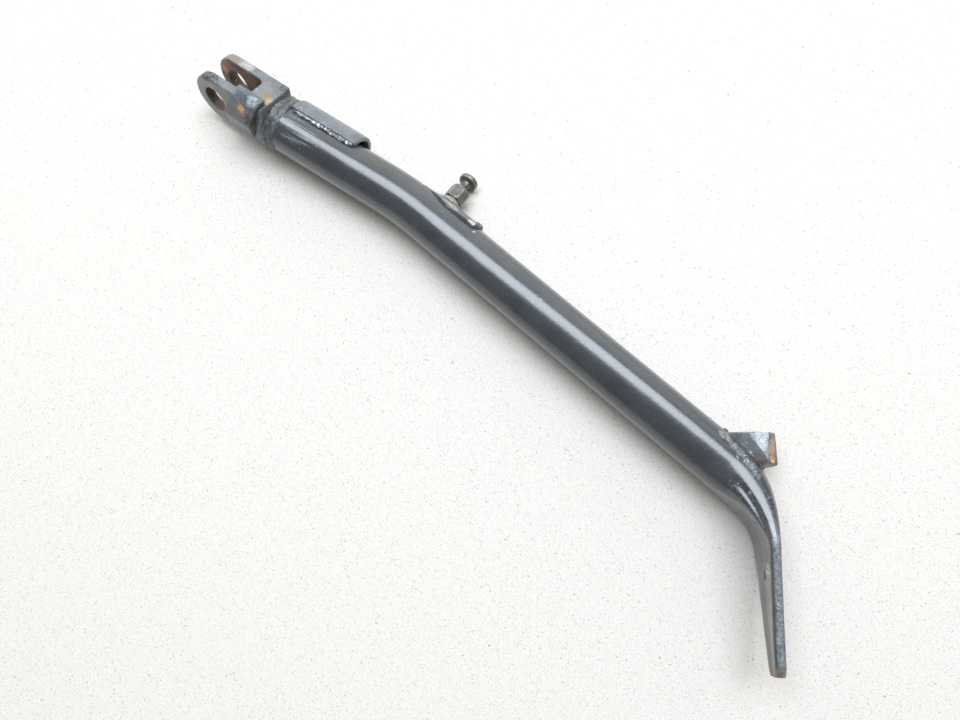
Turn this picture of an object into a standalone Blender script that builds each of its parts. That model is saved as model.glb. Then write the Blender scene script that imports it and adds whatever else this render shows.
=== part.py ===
"""Motorcycle side stand (kickstand): a bent steel tube with a pressed foot and a forked pivot head.

Frame used while modelling: +X runs along the upper tube from the pivot to the foot, +Z is square
to the plane in which the tube is bent, and the pivot hole is near the origin.
At the end the whole stand is laid on the floor, z = 0, on the three points it would rest on.
"""

import math

import bmesh
import bpy
from mathutils import Matrix, Vector

MM = 0.001

# ---- driving dimensions, metres and degrees ----
FIT = 0.3 * MM                  # clearance left between pieces that touch

TUBE_DIAMETER = 25.4 * MM
TUBE_WALL = 2.5 * MM
HEAD_TO_TUBE = 40.5 * MM        # pivot to the tube's cut end
UPPER_LEG = 119.0 * MM          # pivot to the vertex of the upper bend
LOWER_LEG = 226.0 * MM          # between the two bend vertices
FOOT_LENGTH = 77.0 * MM         # vertex of the lower bend to the tip
UPPER_BEND_ANGLE = 8.4
LOWER_BEND_ANGLE = 49.1
UPPER_BEND_RADIUS = 180.0 * MM
LOWER_BEND_RADIUS = 55.0 * MM

FOOT_THICKNESS = 5.0 * MM       # two tube walls pressed together
FOOT_TWIST = 8.0                # lean of the pressed foot: its upper edge towards the inside of the bend
FOOT_DISH = 0.6 * MM            # how far the press leaves the middle below the two folds
PRESS_START = 22.0 * MM         # before the lower bend vertex, where the tube starts to flatten
PRESS_END = 22.0 * MM           # past the vertex, where it is flat
TONGUE_TIP_WIDTH = 17.0 * MM
DRAIN_HOLE = 4.0 * MM
DRAIN_PLACE = 35.0 * MM         # past the lower bend vertex

EAR_RADIUS = 13.5 * MM
EAR_THICKNESS = 5.5 * MM
SLOT_WIDTH = 11.5 * MM
SLOT_DEPTH = 22.5 * MM          # pivot to the bottom of the slot
SLOT_CORNER = 3.0 * MM
PIVOT_HOLE = 14.0 * MM
HEAD_OFFSET = 3.3 * MM          # middle of the slot beside the tube's axis
HEAD_LENGTH = 36.0 * MM         # pivot to the end of the head's block
HEAD_TILT = -11.2               # the pivot axis dips on its +Y side
HEAD_PITCH = -4.5
HEAD_YAW = -4.0
SPIGOT_LENGTH = 16.0 * MM       # how far the head's plug enters the tube
EDGE_BEVEL = 0.8 * MM

CHANNEL_LENGTH = 40.0 * MM
CHANNEL_THICKNESS = 2.2 * MM
CHANNEL_BULGE = 2.6 * MM        # hollow under its middle
CHANNEL_HALF_ANGLE = 64.0

STOP_START = 12.0 * MM          # from the pivot, clear of the bolt head
STOP_END = 30.0 * MM
STOP_PROUD = 5.6 * MM           # outside the ear's face at its widest
STOP_RISE = 4.0 * MM            # above the ear's top edge
STOP_LEAN = 0.35                # both ends lean towards the tube, run over rise

STUD_PLACE = 137.5 * MM         # along X from the pivot
STUD_HEX = 9.8 * MM             # across flats
STUD_SHANK = 8.6 * MM
STUD_NECK = 4.8 * MM
STUD_HEAD = 10.4 * MM
STUD_SHANK_LENGTH = 2.6 * MM
STUD_HEX_LENGTH = 8.4 * MM
STUD_NECK_LENGTH = 6.0 * MM
STUD_HEAD_THICKNESS = 3.2 * MM
STUD_DIP = 11.2                 # below square to the tube

SADDLE_LENGTH = 34.0 * MM
SADDLE_THICKNESS = 1.4 * MM
SADDLE_HALF_ANGLE = 63.0
SADDLE_LEAD = 14.0 * MM         # how far the saddle starts before the stud

LUG_START = 13.8 * MM           # before the lower bend vertex, measured along the foot
LUG_WIDTH = 15.5 * MM
LUG_REACH = 7.0 * MM            # past the foot's middle plane
LUG_TOP = 10.2 * MM             # above the tube's middle plane
LUG_BOTTOM = 6.0 * MM           # below it

BEAD_WIDTH = 4.0 * MM           # weld beads, across
RING_LAP = 2.4 * MM             # how far the ring bead runs onto the tube
RING_RISE = 1.2 * MM
BEAD_RIPPLE = 0.07              # share by which the bead swells at each ripple
RIPPLE_PITCH = 1.6 * MM

# ---- mesh resolution ----
TUBE_SIDES = 32
ROUND_SIDES = 32

TUBE_RADIUS = TUBE_DIAMETER / 2
BORE_RADIUS = TUBE_RADIUS - TUBE_WALL
HEAD_WIDTH = SLOT_WIDTH + 2 * EAR_THICKNESS


# ---- scene and material helpers ----
def clear_scene():
    for thing in list(bpy.data.objects):
        bpy.data.objects.remove(thing, do_unlink=True)


def material(name, colour, roughness, metallic):
    mat = bpy.data.materials.new(name)
    mat.use_nodes = True
    shader = mat.node_tree.nodes["Principled BSDF"]
    shader.inputs["Base Color"].default_value = (*colour, 1.0)
    shader.inputs["Roughness"].default_value = roughness
    shader.inputs["Metallic"].default_value = metallic
    return mat


def add_object(name, bm, mat, parent=None):
    """Turn a bmesh into a named object with outward faces and smooth round sides."""
    bmesh.ops.recalc_face_normals(bm, faces=bm.faces)
    mesh = bpy.data.meshes.new(name)
    bm.to_mesh(mesh)
    bm.free()
    mesh.shade_smooth()
    mesh.set_sharp_from_angle(angle=math.radians(35))
    thing = bpy.data.objects.new(name, mesh)
    if mat:
        mesh.materials.append(mat)
    bpy.context.collection.objects.link(thing)
    thing.parent = parent
    return thing


def add_tool(name, bm, parent=None):
    """A cutter or a shape that a Boolean uses: never part of the stand itself."""
    thing = add_object(name, bm, None, parent)
    thing.hide_render = True
    thing.display_type = "WIRE"
    return thing


def boolean(target, tool, operation):
    step = target.modifiers.new(tool.name, "BOOLEAN")
    step.operation = operation
    step.object = tool
    step.solver = "EXACT"


def bevel(target, width, segments=2, angle=40):
    step = target.modifiers.new("edge_bevel", "BEVEL")
    step.width = width
    step.segments = segments
    step.limit_method = "ANGLE"
    step.angle_limit = math.radians(angle)


def empty(name, parent=None, location=(0, 0, 0), rotation=None):
    thing = bpy.data.objects.new(name, None)
    bpy.context.collection.objects.link(thing)
    thing.parent = parent
    thing.location = location
    if rotation:
        thing.rotation_euler = rotation.to_euler()
    return thing


# ---- solids from sections ----
def loft(sections):
    """A closed solid through sections that all have the same number of points."""
    bm = bmesh.new()
    rings = [[bm.verts.new(point) for point in section] for section in sections]
    count = len(rings[0])
    for near, far in zip(rings, rings[1:]):
        for i in range(count):
            j = (i + 1) % count
            bm.faces.new((near[i], near[j], far[j], far[i]))
    bm.faces.new(rings[0][::-1])
    bm.faces.new(rings[-1])
    return bm


def closed_loft(sections):
    """A ring-shaped solid: the last section joins the first."""
    bm = bmesh.new()
    rings = [[bm.verts.new(point) for point in section] for section in sections]
    count = len(rings[0])
    for k, near in enumerate(rings):
        far = rings[(k + 1) % len(rings)]
        for i in range(count):
            j = (i + 1) % count
            bm.faces.new((near[i], near[j], far[j], far[i]))
    return bm


def prism(outline, start, end, axis):
    """A flat outline of (u, v) points pushed from start to end along X or Y."""
    if axis == "X":
        return loft([[Vector((x, u, v)) for u, v in outline] for x in (start, end)])
    return loft([[Vector((u, y, v)) for u, v in outline] for y in (start, end)])


def arc(centre, radius, start, end, steps):
    """Points on an arc in the plane, angles in degrees."""
    turn = [math.radians(start + (end - start) * k / steps) for k in range(steps + 1)]
    return [(centre[0] + radius * math.cos(a), centre[1] + radius * math.sin(a)) for a in turn]


def turned(profile, sides, frame):
    """A turned solid about the frame's Z axis from (radius, height) points, ends on the axis."""
    bm = bmesh.new()
    rings = []
    for radius, height in profile:
        ring = []
        for k in range(sides):
            turn = 2 * math.pi * k / sides
            ring.append(bm.verts.new(frame @ Vector((radius * math.cos(turn), radius * math.sin(turn), height))))
        rings.append(ring)
    for near, far in zip(rings, rings[1:]):
        for i in range(sides):
            j = (i + 1) % sides
            bm.faces.new((near[i], near[j], far[j], far[i]))
    bm.faces.new(rings[0][::-1])
    bm.faces.new(rings[-1])
    return bm


# ---- the line that the tube follows ----
class LegLine:
    """Straight, bend, straight, bend, straight: the middle line of the tube in the XY plane."""

    def __init__(self):
        first = math.radians(UPPER_BEND_ANGLE)
        second = math.radians(LOWER_BEND_ANGLE)
        trim_a = UPPER_BEND_RADIUS * math.tan(first / 2)
        trim_b = LOWER_BEND_RADIUS * math.tan(second / 2)
        self.runs = (
            ("straight", UPPER_LEG - HEAD_TO_TUBE - trim_a, 0.0),
            ("bend", UPPER_BEND_RADIUS * first, UPPER_BEND_RADIUS),
            ("straight", LOWER_LEG - trim_a - trim_b, 0.0),
            ("bend", LOWER_BEND_RADIUS * second, LOWER_BEND_RADIUS),
            ("straight", FOOT_LENGTH - trim_b, 0.0),
        )
        self.length = sum(run[1] for run in self.runs)
        self.vertex = self.length - FOOT_LENGTH + trim_b - LOWER_BEND_RADIUS * second / 2

    def at(self, distance):
        """Point and heading (radians, clockwise positive) at a distance along the line."""
        x, y, heading = HEAD_TO_TUBE, 0.0, 0.0
        for kind, length, radius in self.runs:
            step = min(distance, length)
            if kind == "straight":
                x += step * math.cos(heading)
                y -= step * math.sin(heading)
            else:
                turned_to = heading + step / radius
                x += radius * (math.sin(turned_to) - math.sin(heading))
                y += radius * (math.cos(turned_to) - math.cos(heading))
                heading = turned_to
            distance -= step
            if distance <= 0:
                break
        return Vector((x, y, 0)), heading

    def frame(self, distance, twist=0.0):
        """Point, tangent, side and up directions; side points to the outside of the bends."""
        point, heading = self.at(distance)
        tangent = Vector((math.cos(heading), -math.sin(heading), 0))
        side = Vector((math.sin(heading), math.cos(heading), 0))
        up = Vector((0, 0, 1))
        turn = Matrix.Rotation(math.radians(twist), 3, tangent)
        return point, tangent, turn @ side, turn @ up

    def stations(self, spacing_straight, spacing_bend):
        """Distances at which the tube has a ring, closer together in the bends."""
        marks = [0.0]
        for kind, length, _ in self.runs:
            spacing = spacing_straight if kind == "straight" else spacing_bend
            count = max(1, round(length / spacing))
            begin = marks[-1]
            marks += [begin + length * k / count for k in range(1, count + 1)]
        return marks


def smooth(value):
    value = min(1.0, max(0.0, value))
    return value * value * (3 - 2 * value)


def section_sizes(past_vertex):
    """Half height and half thickness of the tube's section, at a distance past the lower bend."""
    pressed = smooth((past_vertex + PRESS_START) / (PRESS_START + PRESS_END))
    thick = TUBE_RADIUS + (FOOT_THICKNESS / 2 - TUBE_RADIUS) * pressed
    tall = math.pi / 2 * TUBE_RADIUS - (math.pi / 2 - 1) * thick
    tip = TONGUE_TIP_WIDTH / 2
    taper_end = FOOT_LENGTH - tip
    if past_vertex > PRESS_END:
        share = (past_vertex - PRESS_END) / (taper_end - PRESS_END)
        tall += (tip - tall) * min(1.0, share) ** 0.8
    if past_vertex > taper_end:
        tall = math.sqrt(max(0.0, tip ** 2 - (past_vertex - taper_end) ** 2))
    return tall, min(thick, tall), pressed


def tube_section(line, distance, inset=0.0):
    """Points round the tube, or round its bore when there is an inset, at one station."""
    tall, thick, pressed = section_sizes(distance - line.vertex)
    tall = tall - inset
    thick = thick - inset
    point, _, side, up = line.frame(distance, FOOT_TWIST * pressed)
    flat = tall - thick
    ring = []
    for k in range(TUBE_SIDES):
        turn = 2 * math.pi * k / TUBE_SIDES
        height = tall * math.sin(turn)
        if abs(height) <= flat:
            reach = thick - FOOT_DISH * pressed * math.cos(math.pi / 2 * height / flat) ** 2 if flat > 0 else thick
        else:
            reach = math.sqrt(max(0.0, thick ** 2 - (abs(height) - flat) ** 2))
        ring.append(point + side * math.copysign(reach, math.cos(turn)) + up * height)
    return ring


def leg_stations(line):
    """Distances of the tube's rings from its cut end to the tip of the foot."""
    flat_from = line.length - FOOT_LENGTH + PRESS_END
    taper_end = line.length - TONGUE_TIP_WIDTH / 2
    marks = [mark for mark in line.stations(36 * MM, 4 * MM) if mark < flat_from - 1 * MM]
    while marks[-1] + 6 * MM < flat_from:
        marks.append(marks[-1] + 4 * MM)
    marks += [flat_from + (taper_end - flat_from) * k / 10 for k in range(11)]
    tip = TONGUE_TIP_WIDTH / 2
    marks += [taper_end + tip * math.sin(math.radians(angle)) for angle in (15, 30, 45, 58, 70, 80)]
    return marks


def build_leg(line, mat, parent):
    """The tube: outer wall, bore closing to a slit where the press starts, and the pressed foot."""
    marks = leg_stations(line)
    outer = [tube_section(line, mark) for mark in marks]
    bore_end = line.vertex - PRESS_START * 0.1
    bore_marks = [m for m in marks if m < bore_end]
    inner = [tube_section(line, mark, TUBE_WALL) for mark in bore_marks]

    bm = bmesh.new()
    outer_rings = [[bm.verts.new(p) for p in ring] for ring in outer]
    inner_rings = [[bm.verts.new(p) for p in ring] for ring in inner]
    for rings in (outer_rings, inner_rings):
        for near, far in zip(rings, rings[1:]):
            for i in range(TUBE_SIDES):
                j = (i + 1) % TUBE_SIDES
                bm.faces.new((near[i], near[j], far[j], far[i]))
    for i in range(TUBE_SIDES):
        j = (i + 1) % TUBE_SIDES
        bm.faces.new((outer_rings[0][i], outer_rings[0][j], inner_rings[0][j], inner_rings[0][i]))
    bm.faces.new(outer_rings[-1])
    bm.faces.new(inner_rings[-1])
    leg = add_object("leg_tube", bm, mat, parent)

    point, _, side, _ = line.frame(line.length - FOOT_LENGTH + DRAIN_PLACE, FOOT_TWIST)
    frame = Matrix.Translation(point) @ side.to_track_quat("Z", "Y").to_matrix().to_4x4()
    depth = FOOT_THICKNESS * 2
    drill = add_tool("drain_drill", turned([(DRAIN_HOLE / 2, -depth), (DRAIN_HOLE / 2, depth)], 16, frame), parent)
    boolean(leg, drill, "DIFFERENCE")
    return leg


# ---- the forked head ----
def build_head(mat, stand, head):
    outline = arc((0, 0), EAR_RADIUS, 90, 270, 20) + [(HEAD_LENGTH, -EAR_RADIUS), (HEAD_LENGTH, EAR_RADIUS)]
    block = add_object("clevis_head", prism(outline, -HEAD_WIDTH / 2, HEAD_WIDTH / 2, "Y"), mat, head)

    clear = EAR_RADIUS * 2
    slot = [(-clear, -SLOT_WIDTH / 2), (SLOT_DEPTH - SLOT_CORNER, -SLOT_WIDTH / 2)]
    slot += arc((SLOT_DEPTH - SLOT_CORNER, -SLOT_WIDTH / 2 + SLOT_CORNER), SLOT_CORNER, -90, 0, 5)[1:]
    slot += arc((SLOT_DEPTH - SLOT_CORNER, SLOT_WIDTH / 2 - SLOT_CORNER), SLOT_CORNER, 0, 90, 5)
    slot += [(-clear, SLOT_WIDTH / 2)]
    cutter = loft([[Vector((x, y, z)) for x, y in slot] for z in (-clear, clear)])
    boolean(block, add_tool("slot_cutter", cutter, head), "DIFFERENCE")

    turn = Matrix.Rotation(math.radians(-90), 4, "X")
    drill = turned([(PIVOT_HOLE / 2, -HEAD_WIDTH), (PIVOT_HOLE / 2, HEAD_WIDTH)], ROUND_SIDES, turn)
    boolean(block, add_tool("pivot_drill", drill, head), "DIFFERENCE")
    bevel(block, EDGE_BEVEL)

    along_x = Matrix.Rotation(math.radians(90), 4, "Y")
    radius = BORE_RADIUS - FIT
    nose = 1.0 * MM
    end = HEAD_TO_TUBE + SPIGOT_LENGTH
    profile = [(radius, SLOT_DEPTH + 6 * MM), (radius, end - nose), (radius - nose, end)]
    plug = add_tool("spigot_shape", turned(profile, ROUND_SIDES, along_x), stand)
    boolean(block, plug, "UNION")
    return block


def build_channel(mat, stand):
    """Half-round stiffener welded along the far side of the tube, standing off it in the middle."""
    half, steps = CHANNEL_HALF_ANGLE, 18
    outer, inner = [], []
    for k in range(steps + 1):
        angle = half * (2 * k / steps - 1)
        lift = CHANNEL_BULGE * math.cos(math.radians(90 * angle / half))
        turn = math.radians(angle)
        for points, radius in ((inner, 0.0), (outer, CHANNEL_THICKNESS)):
            reach = TUBE_RADIUS + 2 * FIT + lift + radius
            points.append((reach * math.cos(turn), reach * math.sin(turn)))
    start = HEAD_TO_TUBE + RING_LAP + FIT
    outline = outer + inner[::-1]
    return add_object("tail_channel", prism(outline, start, start + CHANNEL_LENGTH, "X"), mat, stand)


def build_stop(mat, head):
    """Stop block on the near ear: a many-sided bar outside the ear that also laps over its top edge."""
    face = -HEAD_WIDTH / 2
    outer = face - STOP_PROUD
    top = EAR_RADIUS + STOP_RISE
    low = -EAR_RADIUS * 0.75
    outline = [(face - FIT, low), (face - 1.2 * MM, low), (outer, EAR_RADIUS * 0.25)]
    outline += [(face - 0.4 * STOP_PROUD, top * 0.82), (face + 0.35 * EAR_THICKNESS, top)]
    outline += [(-SLOT_WIDTH / 2 - FIT, top - 0.4 * MM), (-SLOT_WIDTH / 2 - FIT, EAR_RADIUS + FIT)]
    outline += [(face - FIT, EAR_RADIUS + FIT)]
    ends = [[Vector((x + STOP_LEAN * v, u, v)) for u, v in outline] for x in (STOP_START, STOP_END)]
    stop = add_object("stop_block", loft(ends), mat, head)
    bevel(stop, 1.0 * MM, 2, 30)
    return stop


# ---- the spring stud and its saddle ----
def stud_frame(line):
    """Axis of the stud: across the tube, dipping a little, with its foot on the tube's middle line."""
    distance = STUD_PLACE - HEAD_TO_TUBE
    point, _, _, _ = line.frame(distance)
    dip = math.radians(STUD_DIP)
    axis = Vector((0, math.cos(dip), -math.sin(dip)))
    frame = Matrix.Translation(point) @ axis.to_track_quat("Z", "X").to_matrix().to_4x4()
    return frame, distance


def build_stud(line, mat, parent):
    frame, _ = stud_frame(line)
    sides = 24
    rest = TUBE_RADIUS + SADDLE_THICKNESS + 2 * FIT
    seat = rest - 1.5 * MM
    hex_low = rest + STUD_SHANK_LENGTH
    hex_high = hex_low + STUD_HEX_LENGTH
    head_low = hex_high + STUD_NECK_LENGTH
    head_high = head_low + STUD_HEAD_THICKNESS
    chamfer = 0.6 * MM
    shank, neck, head = STUD_SHANK / 2, STUD_NECK / 2, STUD_HEAD / 2
    flats = STUD_HEX / 2

    def ring(radius_at, height):
        points = []
        for k in range(sides):
            angle = 2 * math.pi * k / sides
            reach = radius_at(angle)
            points.append(frame @ Vector((reach * math.cos(angle), reach * math.sin(angle), height)))
        return points

    def hexagon(angle):
        within = (angle + math.pi / 6) % (math.pi / 3) - math.pi / 6
        return flats / math.cos(within)

    def circle(radius):
        return lambda angle: radius

    def chamfered(radius):
        return lambda angle: min(radius, hexagon(angle))

    sections = [
        ring(circle(shank), seat),
        ring(circle(shank), hex_low),
        ring(chamfered(flats + 0.1 * MM), hex_low),
        ring(hexagon, hex_low + chamfer),
        ring(hexagon, hex_high - chamfer),
        ring(chamfered(flats + 0.1 * MM), hex_high),
        ring(circle(neck), hex_high + 0.2 * MM),
        ring(circle(neck), head_low - 0.8 * MM),
        ring(circle(head - 0.8 * MM), head_low),
        ring(circle(head), head_low + 0.6 * MM),
        ring(circle(head), head_high - 0.9 * MM),
        ring(circle(head * 0.62), head_high),
    ]
    stud = add_object("spring_stud", loft(sections), mat, parent)
    rings = [saddle_ring(line, mark, rest, 0, 360 - 360 / 48, 47) for mark in saddle_stations(line, 5 * MM)]
    boolean(stud, add_tool("saddle_clearance", loft(rings), parent), "DIFFERENCE")
    return stud


def saddle_ring(line, distance, radius, start, end, steps):
    point, _, side, up = line.frame(distance)
    ring = []
    for k in range(steps + 1):
        angle = math.radians(start + (end - start) * k / steps)
        ring.append(point + side * radius * math.sin(angle) + up * radius * math.cos(angle))
    return ring


def saddle_stations(line, margin=0.0):
    _, distance = stud_frame(line)
    start = distance - SADDLE_LEAD - margin
    length = SADDLE_LENGTH + 2 * margin
    return [start + length * k / 8 for k in range(9)]


def build_saddle(line, mat, parent):
    """Curved strap between the stud and the tube; angles run from straight up towards +Y."""
    middle = 90 + STUD_DIP
    low = TUBE_RADIUS + FIT
    high = low + SADDLE_THICKNESS
    sections = []
    for at in saddle_stations(line):
        outer = saddle_ring(line, at, high, middle - SADDLE_HALF_ANGLE, middle + SADDLE_HALF_ANGLE, 14)
        inner = saddle_ring(line, at, low, middle + SADDLE_HALF_ANGLE, middle - SADDLE_HALF_ANGLE, 14)
        sections.append(outer + inner)
    return add_object("stud_saddle", loft(sections), mat, parent)


# ---- the kick lug ----
def lug_frame(line):
    """Frame at the lower bend's vertex: X out of the bend, square to the foot; Y back up the leg."""
    bend = math.radians(UPPER_BEND_ANGLE)
    vertex = Vector((UPPER_LEG + LOWER_LEG * math.cos(bend), -LOWER_LEG * math.sin(bend), 0))
    heading = bend + math.radians(LOWER_BEND_ANGLE)
    out = Vector((math.sin(heading), math.cos(heading), 0))
    back = Vector((-math.cos(heading), math.sin(heading), 0))
    turn = Matrix((out, back, Vector((0, 0, 1)))).transposed().to_4x4()
    return Matrix.Translation(vertex) @ turn


def hull(points):
    """The convex solid round a set of points."""
    bm = bmesh.new()
    for point in points:
        bm.verts.new(point)
    result = bmesh.ops.convex_hull(bm, input=bm.verts)
    loose = [item for item in result["geom_interior"] if isinstance(item, bmesh.types.BMVert)]
    bmesh.ops.delete(bm, geom=loose, context="VERTS")
    bmesh.ops.dissolve_limit(bm, angle_limit=math.radians(1), verts=bm.verts, edges=bm.edges)
    return bm


def build_lug(line, mat, parent):
    """Solid lug for the rider's boot: a slanted end face, a ridge, and a face falling to the tube."""
    frame = lug_frame(line)
    near, far = LUG_START, LUG_START + LUG_WIDTH
    edge = 0.6 * LUG_REACH
    corners = [
        (-1.15 * LUG_REACH, far - 1 * MM, LUG_TOP), (0.25 * LUG_REACH, far - 1 * MM, LUG_TOP),
        (0.1 * LUG_REACH, near + 1.2 * MM, LUG_TOP),
        (LUG_REACH, far, 0.4 * LUG_TOP), (LUG_REACH, near, 0.4 * LUG_TOP),
        (LUG_REACH, far, -0.3 * LUG_BOTTOM), (LUG_REACH, near, -0.3 * LUG_BOTTOM),
        (edge, far, -LUG_BOTTOM), (edge, near, -LUG_BOTTOM),
        (-3.2 * LUG_REACH, far, 0.5 * LUG_TOP), (-3.2 * LUG_REACH, far, -LUG_BOTTOM),
        (-2.2 * LUG_REACH, near, 0.5 * LUG_TOP), (-2.2 * LUG_REACH, near, -LUG_BOTTOM),
    ]
    bm = hull([frame @ Vector(corner) for corner in corners])
    lug = add_object("kick_lug", bm, mat, parent)
    bevel(lug, 0.7 * MM, 2, 25)
    boolean(lug, bpy.data.objects["tube_clearance"], "DIFFERENCE")
    return lug


# ---- weld beads ----
def bead_sections(path, radii, sides=10):
    """Round sections along a path of points, closing down at both ends."""
    sections = []
    last = len(path) - 1
    for k, point in enumerate(path):
        ahead = path[min(k + 1, last)] - path[max(k - 1, 0)]
        across = ahead.orthogonal().normalized()
        if sections:
            across = (previous - ahead * previous.dot(ahead) / ahead.length_squared).normalized()
        previous = across
        upward = ahead.cross(across).normalized()
        ring = []
        for i in range(sides):
            turn = 2 * math.pi * i / sides
            ring.append(point + (across * math.cos(turn) + upward * math.sin(turn)) * radii[k])
        sections.append(ring)
    return sections


def ripple(path, radius):
    """Bead radius at each point: swelling once per ripple and small at both ends."""
    total = sum((b - a).length for a, b in zip(path, path[1:]))
    run, radii = 0.0, []
    for k, point in enumerate(path):
        if k:
            run += (point - path[k - 1]).length
        swell = 1 + BEAD_RIPPLE * math.sin(2 * math.pi * run / RIPPLE_PITCH)
        close = min(1.0, 0.45 + min(run, total - run) / (1.5 * radius) * 0.55)
        radii.append(radius * swell * close)
    return radii


def build_bead(name, path, radius, mat, parent, base, plate=None):
    """A weld bead: the base's clearance shape is taken from it, and it is taken from the plate."""
    radii = ripple(path, radius)
    bead = add_object(name, loft(bead_sections(path, radii)), mat, parent)
    boolean(bead, base, "DIFFERENCE")
    if plate:
        grown = [value + FIT for value in radii]
        tool = add_tool(name + "_clearance", loft(bead_sections(stretched(path, FIT), grown)), parent)
        boolean(plate, tool, "DIFFERENCE")
    return bead


def stretched(path, extra):
    """The same path with both ends moved out by a small distance."""
    first = path[0] + (path[0] - path[1]).normalized() * extra
    last = path[-1] + (path[-1] - path[-2]).normalized() * extra
    return [first] + path[1:-1] + [last]


def tube_path(line, start, end, angle_start, angle_end, radius, steps):
    """Points on a cylinder round the tube; angles run from straight up towards +Y."""
    path = []
    for k in range(steps + 1):
        share = k / steps
        point, _, side, up = line.frame(start + (end - start) * share)
        angle = math.radians(angle_start + (angle_end - angle_start) * share)
        path.append(point + (side * math.sin(angle) + up * math.cos(angle)) * radius)
    return path


def build_welds(line, mat, stand, parts):
    tube = bpy.data.objects["tube_clearance"]
    half = BEAD_WIDTH / 2
    surface = TUBE_RADIUS + FIT
    begin = RING_LAP + FIT + 2 * MM
    finish = begin + CHANNEL_LENGTH - 4 * MM
    for name, sign in (("weld_channel_top", 1), ("weld_channel_bottom", -1)):
        start_angle = 90 - sign * CHANNEL_HALF_ANGLE
        path = tube_path(line, begin, finish, start_angle, start_angle - sign * 3, surface + 0.6 * MM, 52)
        build_bead(name, path, half, mat, stand, tube, parts["channel"])
    middle = 90 + STUD_DIP
    marks = saddle_stations(line)
    for name, at in (("weld_saddle_near", marks[0]), ("weld_saddle_far", marks[-1])):
        low, high = middle - SADDLE_HALF_ANGLE + 6, middle + SADDLE_HALF_ANGLE - 6
        path = tube_path(line, at, at, low, high, surface + 0.7 * MM, 40)
        build_bead(name, path, half, mat, stand, tube, parts["saddle"])
    frame, _ = stud_frame(line)
    rest = TUBE_RADIUS + SADDLE_THICKNESS + 2 * FIT
    shank = STUD_SHANK / 2 + FIT
    profile = [(shank, -1.5 * MM), (shank + 2.6 * MM, -1.5 * MM), (shank + 2.4 * MM, 0.4 * MM)]
    profile += [(shank + 1.0 * MM, 1.2 * MM), (shank, 2.0 * MM)]
    rings = []
    for k in range(30):
        turn = 2 * math.pi * k / 30
        swell = 1 + BEAD_RIPPLE * math.sin(9 * turn)
        ring = []
        for radius, height in profile:
            reach = shank + (radius - shank) * swell
            ring.append(frame @ Vector((reach * math.cos(turn), reach * math.sin(turn), rest + height)))
        rings.append(ring)
    ring_weld = add_object("weld_stud", closed_loft(rings), mat, stand)
    boolean(ring_weld, bpy.data.objects["saddle_clearance"], "DIFFERENCE")
    lug = lug_frame(line)
    near, far = LUG_START, LUG_START + LUG_WIDTH
    path = [lug @ Vector((-1.2 * MM + 1.5 * MM * k / 14, near, (8.5 - 15 * k / 14) * MM)) for k in range(15)]
    build_bead("weld_lug_foot", path, 1.2 * half, mat, stand, tube, parts["lug"])
    bend = math.radians(LOWER_BEND_ANGLE)
    path = []
    for k in range(15):
        z = (8.5 - 15 * k / 14) * MM
        out = (math.sqrt(TUBE_RADIUS ** 2 - z ** 2) - math.sin(bend) * far) / math.cos(bend)
        path.append(lug @ Vector((out, far, z)))
    build_bead("weld_lug_leg", path, 1.2 * half, mat, stand, tube, parts["lug"])


def build_ring_weld(mat, stand, head):
    """The bead that fills the groove between the head's block and the end of the tube."""
    inner = BORE_RADIUS
    outer = TUBE_RADIUS + RING_RISE
    gap_end = HEAD_TO_TUBE - FIT
    profile = [(inner, HEAD_LENGTH - 4 * MM), (outer, HEAD_LENGTH - 4 * MM), (outer, HEAD_TO_TUBE - 1 * MM)]
    profile += [(outer - 0.6 * MM, HEAD_TO_TUBE + 0.55 * RING_LAP), (TUBE_RADIUS + FIT, HEAD_TO_TUBE + RING_LAP)]
    profile += [(TUBE_RADIUS + FIT, gap_end), (inner, gap_end)]
    rings = []
    for k in range(48):
        turn = 2 * math.pi * k / 48
        swell = 1 + BEAD_RIPPLE * 0.5 * math.sin(12 * turn)
        ring = []
        for radius, x in profile:
            reach = radius * swell if radius > TUBE_RADIUS + 2 * FIT else radius
            ring.append(Vector((x, reach * math.cos(turn), reach * math.sin(turn))))
        rings.append(ring)
    weld = add_object("weld_ring", closed_loft(rings), mat, stand)
    wide = HEAD_WIDTH / 2 + 20 * MM
    box = prism([(-wide, -wide), (wide, -wide), (wide, wide), (-wide, wide)], 0, HEAD_LENGTH + FIT, "X")
    boolean(weld, add_tool("head_clearance", box, head), "DIFFERENCE")
    return weld


# ---- assembly ----
def solids():
    return [thing for thing in bpy.data.objects if thing.type == "MESH" and not thing.hide_render]


def shape_data():
    """Every surface point of the stand, and its centre of mass."""
    graph = bpy.context.evaluated_depsgraph_get()
    points, mass, moment = [], 0.0, Vector((0, 0, 0))
    for thing in solids():
        shape = thing.evaluated_get(graph)
        mesh = shape.to_mesh()
        mesh.calc_loop_triangles()
        corners = [shape.matrix_world @ vertex.co for vertex in mesh.vertices]
        points += corners
        for face in mesh.loop_triangles:
            a, b, c = (corners[i] for i in face.vertices)
            volume = a.dot(b.cross(c)) / 6
            mass += volume
            moment += volume * (a + b + c) / 4
        shape.to_mesh_clear()
    return points, moment / mass


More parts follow.
